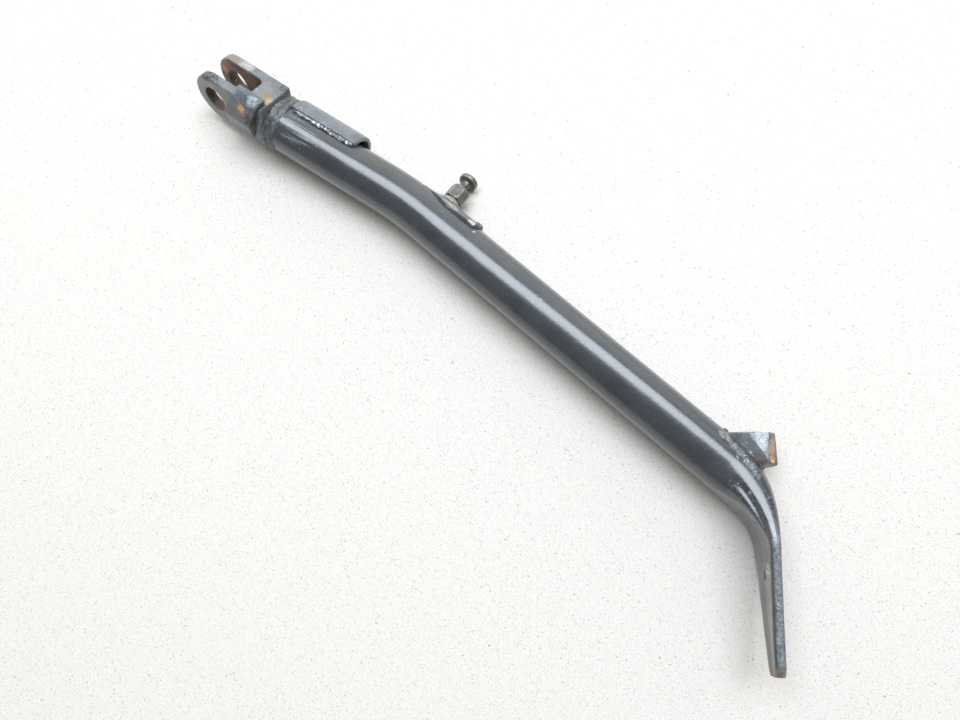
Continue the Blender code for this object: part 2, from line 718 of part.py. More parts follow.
def settle(stand):
    """Turn the stand onto the hull face that holds its weight, and put that face on z = 0."""
    points, centre = shape_data()
    bm = bmesh.new()
    for point in points:
        bm.verts.new(point)
    bmesh.ops.convex_hull(bm, input=bm.verts)
    best = None
    for face in bm.faces:
        normal = face.normal.copy()
        if normal.dot(face.calc_center_median() - centre) < 0:
            normal.negate()
        if normal.z > -0.5 or face.calc_area() < 1e-5:
            continue
        foot = centre + normal * normal.dot(face.verts[0].co - centre)
        inside = True
        for loop in face.loops:
            a, b = loop.vert.co, loop.link_loop_next.vert.co
            inward = face.normal.cross(b - a)
            if inward.dot(foot - a) < 0:
                inside = False
        if inside and (best is None or normal.z < best.z):
            best = normal
    bm.free()
    turn = best.rotation_difference(Vector((0, 0, -1))).to_matrix().to_4x4()
    turned_points = [turn @ point for point in points]
    low = [min(point[i] for point in turned_points) for i in range(3)]
    high = [max(point[i] for point in turned_points) for i in range(3)]
    shift = Vector((-(low[0] + high[0]) / 2, -(low[1] + high[1]) / 2, -low[2]))
    stand.matrix_world = Matrix.Translation(shift) @ turn


def main():
    clear_scene()
    black = material("gloss_black_paint", (0.02, 0.022, 0.026), 0.25, 0.0)
    bare = material("worn_steel", (0.28, 0.27, 0.25), 0.45, 0.9)
    bead = material("painted_weld", (0.05, 0.045, 0.042), 0.45, 0.0)
    stand = empty("stand")
    tilt = (Matrix.Rotation(math.radians(HEAD_YAW), 3, "Z")
            @ Matrix.Rotation(math.radians(HEAD_TILT), 3, "X")
            @ Matrix.Rotation(math.radians(HEAD_PITCH), 3, "Y"))
    head = empty("head_axis", stand, (0, HEAD_OFFSET, 0), tilt)
    line = LegLine()
    clear = loft([tube_section(line, mark, -FIT) for mark in leg_stations(line)])
    add_tool("tube_clearance", clear, stand)
    build_leg(line, black, stand)
    build_head(black, stand, head)
    build_stop(black, head)
    parts = {"channel": build_channel(black, stand)}
    build_stud(line, bare, stand)
    parts["saddle"] = build_saddle(line, black, stand)
    parts["lug"] = build_lug(line, black, stand)
    build_ring_weld(bead, stand, head)
    build_welds(line, bead, stand, parts)
    bpy.context.view_layer.update()
    settle(stand)


main()
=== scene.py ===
# %% [markdown]
# # Motorcycle side stand
# A side stand is a bent steel tube that a motorcycle leans on. Its top end is a fork that turns on
# a pivot bolt, its bottom end is pressed flat into a foot, and small pieces are welded on: a stop
# block, a stiffening channel, a stud for the return spring and a lug for the rider's boot.
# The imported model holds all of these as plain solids. Here each one gets its finer shape, its
# worn paint, rust and bare steel, and then a floor, lights and a camera.

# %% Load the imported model
import math

import bmesh
import bpy
from mathutils import Matrix, Vector, noise


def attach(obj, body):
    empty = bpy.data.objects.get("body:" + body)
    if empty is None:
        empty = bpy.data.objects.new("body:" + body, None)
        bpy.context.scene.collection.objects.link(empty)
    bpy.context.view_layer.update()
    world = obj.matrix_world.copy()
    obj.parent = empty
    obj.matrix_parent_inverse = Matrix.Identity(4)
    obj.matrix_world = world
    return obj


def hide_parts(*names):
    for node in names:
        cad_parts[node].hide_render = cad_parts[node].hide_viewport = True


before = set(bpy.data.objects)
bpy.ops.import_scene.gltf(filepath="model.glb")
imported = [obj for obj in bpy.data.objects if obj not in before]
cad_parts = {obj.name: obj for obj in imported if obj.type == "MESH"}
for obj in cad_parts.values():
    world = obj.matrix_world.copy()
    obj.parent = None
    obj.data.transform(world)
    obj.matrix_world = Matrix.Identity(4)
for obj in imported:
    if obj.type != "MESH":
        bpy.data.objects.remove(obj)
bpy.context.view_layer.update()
print("packed pieces:", sorted(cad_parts))

# %% [markdown]
# ## Sizes and the two working frames
# The stand is easiest to draw as it lies on a maker's bench: X along the upper tube, Z square to
# the plane of the bends. The real one leans a little on the floor, so every piece keeps its bench
# coordinates until it is finished, and is then turned and shifted to lie down. A material takes
# its coordinates back to the bench, so a paint pattern is placed in millimetres from the pivot.

# %% Sizes and frames
MM = 0.001
TUBE_RADIUS = 12.7 * MM
HEAD_TO_TUBE = 40.5 * MM
UPPER_LEG = 119.0 * MM
LOWER_LEG = 226.0 * MM
FOOT_LENGTH = 77.0 * MM
UPPER_BEND = math.radians(8.4)
LOWER_BEND = math.radians(49.1)
UPPER_RADIUS = 180.0 * MM
LOWER_RADIUS = 55.0 * MM
HEAD_OFFSET = 3.3 * MM


def turned(*turns):
    """Turns in degrees, each about an axis that the turns before it have carried along."""
    whole = Matrix.Identity(4)
    for axis, degrees in turns:
        whole = whole @ Matrix.Rotation(math.radians(degrees), 4, axis)
    return whole


LEAN = turned(("Z", -0.03), ("Y", 0.59), ("X", -6.44))
STAND = Matrix.Translation(Vector((-186.08, 33.72, 16.37)) * MM) @ LEAN
HEAD_TURN = turned(("Z", -4.0), ("X", -11.2), ("Y", -4.5))
HEAD = STAND @ Matrix.Translation((0, HEAD_OFFSET, 0)) @ HEAD_TURN
print("pivot is at", [round(v, 4) for v in HEAD.translation])

# %% [markdown]
# ## Colours and nodes
# Colours are written as the hex values that a picture editor shows. Blender's shaders want linear
# light, so one function turns hex to linear. A second small function adds a shader node, sets its
# settings and fills its inputs, each with a number or with a link from another node.

# %% Colour and node helpers
def linear(hex_colour):
    parts = [int(hex_colour[i:i + 2], 16) / 255 for i in (1, 3, 5)]
    light = [p / 12.92 if p <= 0.04045 else ((p + 0.055) / 1.055) ** 2.4 for p in parts]
    return (*light, 1.0)


def fill(tree, step, inputs):
    """Give a node's inputs their numbers, or links from other nodes."""
    for name, value in inputs.items():
        if isinstance(value, bpy.types.NodeSocket):
            tree.links.new(value, step.inputs[name])
        else:
            step.inputs[name].default_value = value


def add_node(tree, kind, settings=None, inputs=None):
    step = tree.nodes.new(kind)
    for name, value in (settings or {}).items():
        setattr(step, name, value)
    fill(tree, step, inputs or {})
    return step


def per(size_mm):
    """Scale of a pattern whose features are this many millimetres apart."""
    return 1.0 / (size_mm * MM)


print("black enamel in linear light:", [round(v, 4) for v in linear("#292e32")])

# %% [markdown]
# ## Finishes that wear
# Paint on a used stand is a stack: enamel, haze and dust on it, chips through it, and rust where
# water got in. A finish here is a colour, a roughness and a metallic value, and a layer is laid
# over the one below where all its masks are 1. A value that is the same all over needs no node: it
# stays a number until the shader gets it.

# %% Layers of a finish
def mottled(tree, mask, dark, pale, rough, metal=0.0):
    """The lowest layer: two tones of one finish."""
    tones = add_node(tree, "ShaderNodeMix", {"data_type": "RGBA"},
                     {0: mask, 6: linear(dark), 7: linear(pale)})
    return {"colour": tones.outputs[2], "rough": rough, "metal": metal}


def lay_over(tree, finish, masks, colour, rough, metal=0.0):
    """One finish over another, where every mask is 1."""
    mask = masks[0]
    for other in masks[1:]:
        where_both = add_node(tree, "ShaderNodeMath", {"operation": "MULTIPLY"}, {0: mask, 1: other})
        mask = where_both.outputs[0]
    mixed = add_node(tree, "ShaderNodeMix", {"data_type": "RGBA"},
                     {0: mask, 6: finish["colour"], 7: linear(colour)})
    laid = {"colour": mixed.outputs[2], "rough": finish["rough"], "metal": finish["metal"]}
    for part, over in (("rough", rough), ("metal", metal)):
        if finish[part] != over:
            blend = add_node(tree, "ShaderNodeMix", {}, {0: mask, 2: finish[part], 3: over})
            laid[part] = blend.outputs[0]
    return laid


print("layers ready")

# %% [markdown]
# ## Where the wear is
# Wear never repeats, so no mask is drawn by hand. A patch is a ragged blot round a point, given in
# millimetres in the piece's own frame. Specks are the peaks of a noise. Flecks are specks that
# keep to a patch. Edges are found from how pointed the surface is, because they rub bare first.

# %% Patches, specks, flecks and edges
PATCH_WHOLE = 0.75
PATCH_GONE = 1.1


def patch(tree, place, centre, reach, ragged=0.5, grain=1.5, squeeze=(1, 1, 1)):
    """Mask of a ragged patch; its centre, its reach and the grain of its rim are in millimetres."""
    spread = add_node(tree, "ShaderNodeVectorMath", {"operation": "MULTIPLY"},
                      {0: place, 1: squeeze})
    middle = tuple(c * s * MM for c, s in zip(centre, squeeze))
    away = add_node(tree, "ShaderNodeVectorMath", {"operation": "DISTANCE"},
                    {0: spread.outputs[0], 1: middle})
    wobble = add_node(tree, "ShaderNodeTexNoise", {},
                      {"Vector": place, "Scale": per(grain), "Detail": 5.0, "Roughness": 0.65})
    rim = add_node(tree, "ShaderNodeMath", {"operation": "MULTIPLY_ADD"},
                   {0: wobble.outputs[0], 1: 2 * ragged * reach * MM, 2: away.outputs["Value"]})
    mask = add_node(tree, "ShaderNodeMapRange", {},
                    {"Value": rim.outputs[0], "From Min": reach * MM * (PATCH_GONE + ragged),
                     "From Max": reach * MM * (PATCH_WHOLE + ragged)})
    return mask.outputs[0]


def specks(tree, place, size_mm, low, high):
    """Mask of the peaks of a noise: 0 below the low height and 1 above the high one."""
    grain = add_node(tree, "ShaderNodeTexNoise", {},
                     {"Vector": place, "Scale": per(size_mm), "Detail": 4.0, "Roughness": 0.6})
    mask = add_node(tree, "ShaderNodeMapRange", {},
                    {"Value": grain.outputs[0], "From Min": low, "From Max": high})
    return mask.outputs[0]


def flecks(tree, place, centre, reach, size_mm):
    """Two masks that together leave small flecks round a point."""
    return [patch(tree, place, centre, reach, 0.7, 1.2), specks(tree, place, size_mm, 0.56, 0.60)]


def worn_edges(tree, low, high, most):
    """Mask of the edges, from how pointed the surface is; most is how bare they get."""
    pointed = add_node(tree, "ShaderNodeNewGeometry").outputs["Pointiness"]
    mask = add_node(tree, "ShaderNodeMapRange", {},
                    {"Value": pointed, "From Min": low, "From Max": high, "To Max": most})
    return mask.outputs[0]


print("masks ready")

# %% [markdown]
# ## Start and end of a material
# Every material starts by taking its place back to the bench, so that a patch stays on its piece
# however the stand lies. It ends by joining its layers to the shader, with a noise as its bump: the
# small lumps that a sprayed film, a casting or a weld has.

# %% Begin and end a material
def begin_material(name, at=STAND):
    """A node material whose patterns are placed in the frame that a piece was drawn in."""
    made = bpy.data.materials.new(name)
    made.use_nodes = True
    tree = made.node_tree
    shader = tree.nodes["Principled BSDF"]
    world_place = add_node(tree, "ShaderNodeTexCoord").outputs["Object"]
    back = add_node(tree, "ShaderNodeMapping", {"vector_type": "TEXTURE"},
                    {"Vector": world_place, "Location": at.translation, "Rotation": at.to_euler()})
    return made, tree, shader, back.outputs[0]


def end_material(tree, shader, place, finish, grain_mm, depth_mm, detail=6.0, sharpness=0.6):
    """Join a finish to the shader, and give it lumps of a size and a depth in millimetres."""
    lumps = add_node(tree, "ShaderNodeTexNoise", {},
                     {"Vector": place, "Scale": per(grain_mm), "Detail": detail,
                      "Roughness": sharpness})
    bump = add_node(tree, "ShaderNodeBump", {},
                    {"Height": lumps.outputs[0], "Distance": depth_mm * MM, "Strength": 1.0})
    fill(tree, shader, {"Normal": bump.outputs[0], "Base Color": finish["colour"],
                        "Roughness": finish["rough"], "Metallic": finish["metal"]})


print("materials start from the pivot at", [round(v, 4) for v in STAND.translation])

# %% [markdown]
# ## Gloss black enamel: its wear, and a painted highlight on the foot
# Stove enamel over steel is a dark, almost black film with a smooth skin. Hair scratches run along
# the tube, stone chips show pale primer and steel, and dust dulls it. The scratches are drawn
# about 0.6 mm apart, coarser than real ones, so that they show. Near the head the tube was gripped
# and scuffed, and at the lower bend boots rub it dull and a thin brown rust comes through. Along
# the upper fold of the foot a pale grey band is painted on the faces that look up: a painted
# highlight. Mud sits round the drain hole, and the tip has lost its paint. Each chip has a place,
# a reach, a grain and a colour.

# %% Scratches, scuffs, rust, chips, mud and a painted fold highlight
ALONG_TUBE = {"Rotation": (0, 0, math.radians(8)), "Scale": (0.04, 1.0, 1.0)}


def scratch_and_dust(tree, place, lengthwise, finish):
    scratches = specks(tree, lengthwise, 0.6, 0.60, 0.80)
    dust = specks(tree, place, 0.7, 0.68, 0.76)
    chips = specks(tree, place, 2.6, 0.735, 0.75)
    finish = lay_over(tree, finish, [scratches], "#474d50", 0.4)
    finish = lay_over(tree, finish, [dust], "#7c7b74", 0.6)
    return lay_over(tree, finish, [chips], "#b9b8b0", 0.5, 0.2)


def rub_lower_bend(tree, place, finish):
    pale_mask = patch(tree, place, (335, -36, 14), 13.0, 0.6, 2.2, (0.8, 1.0, 0.5))
    scuffs = specks(tree, place, 1.6, 0.52, 0.80)
    outer_rust = patch(tree, place, (350, -35, 9), 6.5, 0.6, 2.0, (1.0, 0.7, 0.7))
    lower_rust = patch(tree, place, (357, -48, 8), 6.5, 0.7, 2.4, (1.2, 0.4, 0.6))
    finish = lay_over(tree, finish, [pale_mask, scuffs], "#5f666c", 0.38)
    finish = lay_over(tree, finish, [outer_rust], "#6b5342", 0.62)
    return lay_over(tree, finish, [lower_rust], "#57483c", 0.6)


def scuff_by_head(tree, place, lengthwise, finish):
    by_head = patch(tree, place, (53, -3, 12.5), 9.0, 0.7, 1.6, (0.7, 1.4, 1.0))
    scuffs = specks(tree, lengthwise, 1.1, 0.50, 0.66)
    return lay_over(tree, finish, [by_head, scuffs], "#8b939b", 0.4)


CHIPS = (
    ((348.0, -38.5, 11.5), 2.5, 1.0, "#b98d62"), ((333.0, -38.5, 13.5), 1.5, 1.6, "#9da2a5"),
    ((341.5, -35.5, 14.0), 1.5, 1.6, "#9a9c9b"), ((323.0, -25.5, 12.0), 2.5, 1.1, "#c0c5c9"),
    ((329.0, -26.5, 12.0), 3.0, 1.0, "#c4c9cb"), ((366.5, -74.0, 12.5), 1.5, 0.9, "#dcdad2"),
    ((373.5, -86.5, 10.0), 1.5, 0.9, "#a9adad"), ((160.0, 1.0, 11.0), 1.5, 1.2, "#c5c5bf"),
    ((262.0, -27.0, 9.0), 1.5, 1.0, "#c8c8c4"), ((283.0, -31.0, 9.0), 1.5, 1.0, "#c8c8c4"))


# Painted highlight: a pale grey band on the upward faces of the foot's upper fold, broken by specks.
def paint_fold_highlight(tree, place, finish):
    normal = add_node(tree, "ShaderNodeNewGeometry").outputs["Normal"]
    upward = add_node(tree, "ShaderNodeSeparateXYZ", {}, {0: normal}).outputs["Z"]
    faces_up = add_node(tree, "ShaderNodeMapRange", {},
                        {"Value": upward, "From Min": 0.6, "From Max": 0.92, "To Max": 0.8})
    on_foot = patch(tree, place, (364, -72, 10), 27.0, 0.2, 4.0, (0.8, 0.75, 0.5))
    pale_mask = specks(tree, place, 1.4, 0.25, 0.72)
    return lay_over(tree, finish, [faces_up.outputs[0], on_foot, pale_mask], "#989fa4", 0.4)


def muddy_hole_and_bare_tip(tree, place, finish):
    by_hole = patch(tree, place, (357.0, -63.0, 7.5), 3.5, 0.5, 1.2, (1.0, 1.0, 0.7))
    mud = specks(tree, place, 1.4, 0.44, 0.56)
    at_tip = patch(tree, place, (384.5, -100.5, 4.0), 7.0, 0.35, 2.2, (1.0, 0.75, 1.1))
    bright = specks(tree, place, 1.3, 0.54, 0.64)
    finish = lay_over(tree, finish, [by_hole, mud], "#e2e0d9", 0.7)
    finish = lay_over(tree, finish, [at_tip], "#71665b", 0.55, 0.3)
    return lay_over(tree, finish, [bright, at_tip], "#9a8e80", 0.45, 0.5)


print("stone chips placed:", len(CHIPS))

# %% [markdown]
# ## Gloss black enamel: the whole stack
# The film itself has an index of about 1.55 and a clear skin on top. It gives the eye one hard,
# narrow highlight along the tube and a soft grey one where the room is pale, and the wear above
# breaks both up. The stack also holds the painted highlight on the foot's upper fold.

# %% Enamel for the tube and foot
def make_tube_enamel():
    made, tree, shader, place = begin_material("gloss_black_stove_enamel_and_fold_highlight")
    fill(tree, shader, {"IOR": 1.55, "Specular Tint": linear("#f2f6fc"),
                        "Coat Weight": 0.75, "Coat Roughness": 0.16})
    drawn_out = add_node(tree, "ShaderNodeMapping", {}, {"Vector": place, **ALONG_TUBE})
    lengthwise = drawn_out.outputs[0]
    finish = mottled(tree, specks(tree, place, 14.0, 0.35, 0.7), "#292e32", "#363b3f", 0.27)
    finish = scratch_and_dust(tree, place, lengthwise, finish)
    finish = rub_lower_bend(tree, place, finish)
    finish = scuff_by_head(tree, place, lengthwise, finish)
    finish = paint_fold_highlight(tree, place, finish)
    for centre, reach, size_mm, colour in CHIPS:
        chip = flecks(tree, place, centre, reach, size_mm)
        finish = lay_over(tree, finish, chip, colour, 0.5)
    finish = muddy_hole_and_bare_tip(tree, place, finish)
    end_material(tree, shader, place, finish, 1.6, 0.09)
    return made


TUBE_ENAMEL_AND_FOLD_HIGHLIGHT = make_tube_enamel()
print("tube finish:", len(TUBE_ENAMEL_AND_FOLD_HIGHLIGHT.node_tree.nodes), "nodes")

# %% [markdown]
# ## Worn enamel on the fittings
# The forged head, its stop block, the channel, the saddle and the boot lug had the same enamel,
# but boots, the bolt and the bracket rub it off. It gives the eye a dull grey-blue bloom with
# brown stains, bright scuffed edges and orange rust where water sat. Colours differ from piece to
# piece, so one function builds the stack and each piece passes its own colours and stains; on the
# stop block and the lug some of these patches are painted highlight, and the slot and the lug's
# hollow get darker copies as painted shade.

# %% Worn enamel for the fittings
def make_worn_enamel(name, dark, pale, bloom, rough, stains_and_painted_light, at=STAND):
    """Each stain or painted highlight has a centre and a reach in millimetres, a squeeze along each
    axis, a colour.
    """
    made, tree, shader, place = begin_material(name, at)
    fill(tree, shader, {"IOR": 1.5, "Coat Weight": 0.25, "Coat Roughness": 0.3})
    finish = mottled(tree, specks(tree, place, 6.0, 0.3, 0.72), dark, pale, rough)
    haze = specks(tree, place, 0.8, 0.52, 0.68)
    damp = specks(tree, place, 4.5, 0.62, 0.72)
    finish = lay_over(tree, finish, [haze], bloom, rough + 0.1)
    finish = lay_over(tree, finish, [damp], "#5f5347", 0.65)
    broken = specks(tree, place, 1.0, 0.36, 0.54)
    for centre, reach, squeeze, colour in stains_and_painted_light:
        patch_mask = patch(tree, place, centre, reach, 0.9, 1.3, squeeze)
        finish = lay_over(tree, finish, [patch_mask, broken], colour, 0.6)
    finish = lay_over(tree, finish, [worn_edges(tree, 0.55, 0.61, 0.7)], "#b9bdc0", 0.35, 0.5)
    finish = lay_over(tree, finish, [specks(tree, place, 2.4, 0.70, 0.73)], "#d2d4d2", 0.5)
    end_material(tree, shader, place, finish, 1.1, 0.14)
    return made


ROUND = (1, 1, 1)
print("a round stain is squeezed by", ROUND)

# %% [markdown]
# ## Finishes of the fittings
# The bolt and the bracket keep the inside of the fork bare, so its slot is brown rusted steel; it is
# painted darker deep in the slot and in the bore as painted shade, and orange near the open end.
# Rust the colour of sand sits in the corner behind the slot and on the face of the stop block, where
# the paint was knocked off. Two blue-grey patches on the stop block's rounded upper edge are painted
# highlight. The channel and the saddle kept most of theirs. The lug gets a finish for each way its
# faces look: on top a lighter copy of its enamel as painted light, with two painted highlights;
# towards the tube and below a darker copy as painted shade; rust on the outer strip, where the boot
# wears it.

# %% Finishes of head, stop, channel, saddle and lug
HEAD_ENAMEL = make_worn_enamel(
    "worn_enamel_forged_head", "#52575b", "#6f7579", "#7d8387", 0.36,
    (((-6.5, 5.5, 8.5), 5.0, (1, 1.4, 1), "#7a5c44"),
     ((34.0, -3.0, 13.5), 3.0, (1, 1, 2.5), "#b08d68"),
     ((30.5, -1.5, 13.5), 3.5, (1, 1, 2.5), "#806c59"),
     ((3.0, 10.0, 13.0), 5.0, (0.7, 1, 1), "#94918b"),
     ((0.0, 8.0, 13.0), 4.0, ROUND, "#7b6b5b"),
     ((9.0, 8.5, 13.0), 2.5, (0.6, 1, 1), "#a3a4a3"),
     ((-3.0, -9.0, 13.0), 3.0, (0.4, 1, 1), "#2f2f2e"),
     ((34.0, 9.0, 13.0), 3.0, ROUND, "#3a3d3f")), HEAD)
# Rust in the slot and the bore, painted darker as the slot's shade: dark brown deep inside, orange
# near the open end.
SLOT_RUST_AND_SHADE = make_worn_enamel(
    "rusted_steel_in_slot_and_painted_shade", "#3c3129", "#5e4a3b", "#6b5544", 0.62,
    (((-7.0, 5.5, 6.0), 6.0, ROUND, "#8d6444"), ((-9.5, 5.5, 4.0), 3.0, ROUND, "#b98e62"),
     ((10.0, 5.5, 9.0), 6.0, ROUND, "#6f5643")), HEAD)
STOP_ENAMEL_AND_HIGHLIGHT = make_worn_enamel(
    "worn_enamel_stop_block_and_painted_highlight", "#43494e", "#5b6268", "#6a7178", 0.36,
    (((25.5, -14.5, 11.0), 3.5, ROUND, "#9a7751"), ((26.0, -14.5, 11.5), 2.0, ROUND, "#d6a876"),
     # The two blue-grey patches 17.5 mm up are painted highlight on the block's rounded upper edge.
     ((31.5, -15.5, 6.0), 4.5, ROUND, "#35322e"), ((31.0, -11.0, 17.5), 3.5, ROUND, "#949da5"),
     ((18.0, -11.5, 17.5), 2.5, ROUND, "#7f878d")), HEAD)

CHANNEL_ENAMEL = make_worn_enamel(
    "worn_enamel_channel", "#4f565b", "#697075", "#7a8287", 0.30,
    (((60.0, 15.0, 4.0), 5.0, (0.5, 1, 1), "#655f56"), ((82.0, 16.0, -1.5), 2.5, ROUND, "#a9a39a"),
     ((82.5, 12.0, 3.0), 3.0, ROUND, "#6b543f"), ((82.0, 12.0, 8.0), 2.0, ROUND, "#b8babb")))
SADDLE_ENAMEL = make_worn_enamel(
    "worn_enamel_saddle", "#3b4146", "#555c61", "#676e73", 0.28,
    (((158.0, 8.0, 10.0), 3.0, ROUND, "#34312e"), ((157.0, 5.5, 11.5), 3.0, ROUND, "#c9c9c3"),
     ((143.0, 8.0, 11.0), 3.5, (0.6, 1, 1), "#9b9a93")))
# Top faces of the lug: a lighter copy of the enamel as painted light; the two pale blue-grey patches
# are painted highlight, the brown one rust.
LUG_ENAMEL_PAINTED_LIGHT = make_worn_enamel(
    "worn_enamel_boot_lug_painted_light", "#595f65", "#757d84", "#969fa7", 0.36,
    (((326.5, -10.5, 10.5), 3.5, ROUND, "#a6adb4"), ((328.5, -15.0, 10.0), 3.0, ROUND, "#b0b6bd"),
     ((333.0, -14.0, 9.0), 3.0, (1.4, 0.8, 1), "#8a7460")))
# Faces towards the tube and below: a darker copy of the same enamel as painted shade.
LUG_ENAMEL_PAINTED_SHADE = make_worn_enamel(
    "worn_enamel_beside_lug_painted_shade", "#484d51", "#666c71", "#7b8185", 0.38,
    (((331.0, -21.5, 9.0), 4.5, (1, 1, 0.6), "#544b43"),
     ((316.5, -18.0, 7.5), 3.5, ROUND, "#4f4a45"),
     ((326.0, -23.5, 10.5), 4.0, ROUND, "#c5cbd0"),
     ((321.0, -21.0, 9.5), 2.4, ROUND, "#a9afb3")))
LUG_RUST = make_worn_enamel(
    "rusted_steel_on_lug", "#4c443f", "#6b6058", "#80766e", 0.6,
    (((336.5, -19.0, 8.0), 3.0, ROUND, "#c08c5c"), ((337.5, -19.5, 7.5), 2.0, ROUND, "#e6b684"),
     ((333.5, -12.5, 8.0), 3.2, (1, 0.6, 1), "#a18770")))
print("fittings have their finishes")

# %% [markdown]
# ## Zinc-plated steel
# The spring stud was a plated steel bolt, and its plating has gone dull. It gives the eye a metal
# with a rough, warm grey surface that shows soft light along each flat of the hexagon and a bright
# line along each worn corner. As a metal it keeps the default index.

# %% Stud steel
def make_stud_steel():
    made, tree, shader, place = begin_material("dull_zinc_plated_steel")
    grime = specks(tree, place, 1.2, 0.58, 0.7)
    crystals = specks(tree, place, 0.5, 0.66, 0.74)
    finish = mottled(tree, specks(tree, place, 2.6, 0.35, 0.7), "#585857", "#7c7c79", 0.42, 0.75)
    finish = lay_over(tree, finish, [grime], "#6b6358", 0.7, 0.1)
    finish = lay_over(tree, finish, [crystals], "#d2d0c8", 0.4, 0.7)
    finish = lay_over(tree, finish, [worn_edges(tree, 0.53, 0.58, 0.9)], "#dcdad4", 0.3, 0.8)
    end_material(tree, shader, place, finish, 0.7, 0.08, 5.0)
    return made


STUD_STEEL = make_stud_steel()
print("stud finish:", len(STUD_STEEL.node_tree.nodes), "nodes")

# %% [markdown]
# ## Painted weld
# Weld metal under paint is lumpy. It gives the eye bright flecks on its lumps and brown rust in its
# pits, so its bump is far deeper than the enamel's. The beads differ in tone and in how many
# flecks they show: the lower the height from which a fleck shows, the more there are.

# %% Weld finishes
def make_weld(name, dark, pale, fleck, fleck_from):
    made, tree, shader, place = begin_material(name)
    fill(tree, shader, {"Coat Weight": 0.3, "Coat Roughness": 0.25})
    pits = specks(tree, place, 1.1, 0.60, 0.70)
    bright = specks(tree, place, 1.4, fleck_from, fleck_from + 0.04)
    finish = mottled(tree, specks(tree, place, 1.8, 0.35, 0.7), dark, pale, 0.42)
    finish = lay_over(tree, finish, [pits], "#54402f", 0.7)
    finish = lay_over(tree, finish, [bright], fleck, 0.45, 0.2)
    end_material(tree, shader, place, finish, 1.0, 0.3, sharpness=0.65)
    return made


RING_WELD = make_weld("painted_weld_at_head", "#34393d", "#565d62", "#a3a8aa", 0.64)
SEAM_WELD = make_weld("painted_weld_with_bare_flecks", "#4d5154", "#8d9397", "#e9ecee", 0.54)
STUD_WELD = make_weld("painted_weld_at_stud", "#6d6c67", "#9d9b94", "#dddcd5", 0.60)
BROWN_WELD = make_weld("rusty_weld_at_lug", "#3f3933", "#6d6256", "#b9b3a8", 0.63)
FAR_WELD = make_weld("painted_weld_behind_stud", "#484d50", "#747a7e", "#dfe2e4", 0.635)
DARK_WELD = make_weld("painted_weld_beside_leg", "#363b3e", "#565b5e", "#a9adaf", 0.66)
print("six welds ready")

# %% [markdown]
# ## From sections to pieces
# Most of the stand is long, so most pieces are drawn as a row of cross-sections with skin between
# them, called a loft. Edges get a bevel, because no real edge is sharp, and holes are cut with a
# Boolean. Both are applied at once, so that no cutter is left in the scene.

# %% Loft, cut, round and place
def loft(sections, closed=False):
    """Skin between a row of sections; a closed row joins its ends instead of capping them."""
    bm = bmesh.new()
    rings = [[bm.verts.new(point) for point in section] for section in sections]
    count = len(rings[0])
    pairs = list(zip(rings, rings[1:])) + ([(rings[-1], rings[0])] if closed else [])
    for near, far in pairs:
        for i in range(count):
            j = (i + 1) % count
            bm.faces.new((near[i], near[j], far[j], far[i]))
    if not closed:
        bm.faces.new(rings[0][::-1])
        bm.faces.new(rings[-1])
    return bm


def as_object(name, bm):
    bmesh.ops.recalc_face_normals(bm, faces=bm.faces)
    mesh = bpy.data.meshes.new(name)
    bm.to_mesh(mesh)
    bm.free()
    thing = bpy.data.objects.new(name, mesh)
    bpy.context.scene.collection.objects.link(thing)
    return thing


def apply_steps(thing):
    """Replace the mesh by what its modifiers make of it."""
    bpy.context.view_layer.update()
    graph = bpy.context.evaluated_depsgraph_get()
    made = bpy.data.meshes.new_from_object(thing.evaluated_get(graph))
    thing.modifiers.clear()
    thing.data = made


def cut(thing, bm):
    tool = as_object("cutter", bm)
    step = thing.modifiers.new("cut", "BOOLEAN")
    step.operation = "DIFFERENCE"
    step.solver = "EXACT"
    step.object = tool
    apply_steps(thing)
    bpy.data.objects.remove(tool, do_unlink=True)


def round_edges(thing, width_mm, angle=35, segments=4):
    """Bevel the edges where the surface turns by more than an angle."""
    step = thing.modifiers.new("round", "BEVEL")
    step.width = width_mm * MM
    step.segments = segments
    step.limit_method = "ANGLE"
    step.angle_limit = math.radians(angle)
    apply_steps(thing)


def paint_faces(thing, finishes, choose):
    """Several finishes on one piece: choose() says which one a face gets."""
    for finish in finishes:
        thing.data.materials.append(finish)
    for face in thing.data.polygons:
        face.material_index = choose(face.center, face.normal)


def place_piece(thing, at, finish, node, sharp=50):
    """Place a piece; edges that turn by more than sharp degrees stay crisp."""
    thing.data.transform(at)
    if not thing.data.materials:
        thing.data.materials.append(finish)
    thing.data.update()
    thing.data.shade_smooth()
    thing.data.set_sharp_from_angle(angle=math.radians(sharp))
    if node:
        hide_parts(node)
    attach(thing, "root")
    print(thing.name, "faces:", len(thing.data.polygons))


def place_weld(name, bm, finish, node):
    """A bead is soft all over, so hardly any of its edges stay crisp."""
    place_piece(as_object(name, bm), STAND, finish, node, 80)


def smooth(value):
    """Ease from 0 to 1."""
    value = min(1.0, max(0.0, value))
    return value * value * (3 - 2 * value)


def arc(centre, radius, start, end, steps):
    """Points on an arc between two angles in degrees."""
    turns = [math.radians(start + (end - start) * k / steps) for k in range(steps + 1)]
    return [(centre[0] + radius * math.cos(a), centre[1] + radius * math.sin(a)) for a in turns]


print("making helpers ready")

# %% [markdown]
# ## The line of the tube
# A bent tube keeps its length along its middle line, and each bend is an arc of the former's
# radius. Everything welded to the tube is placed by its distance along this line.

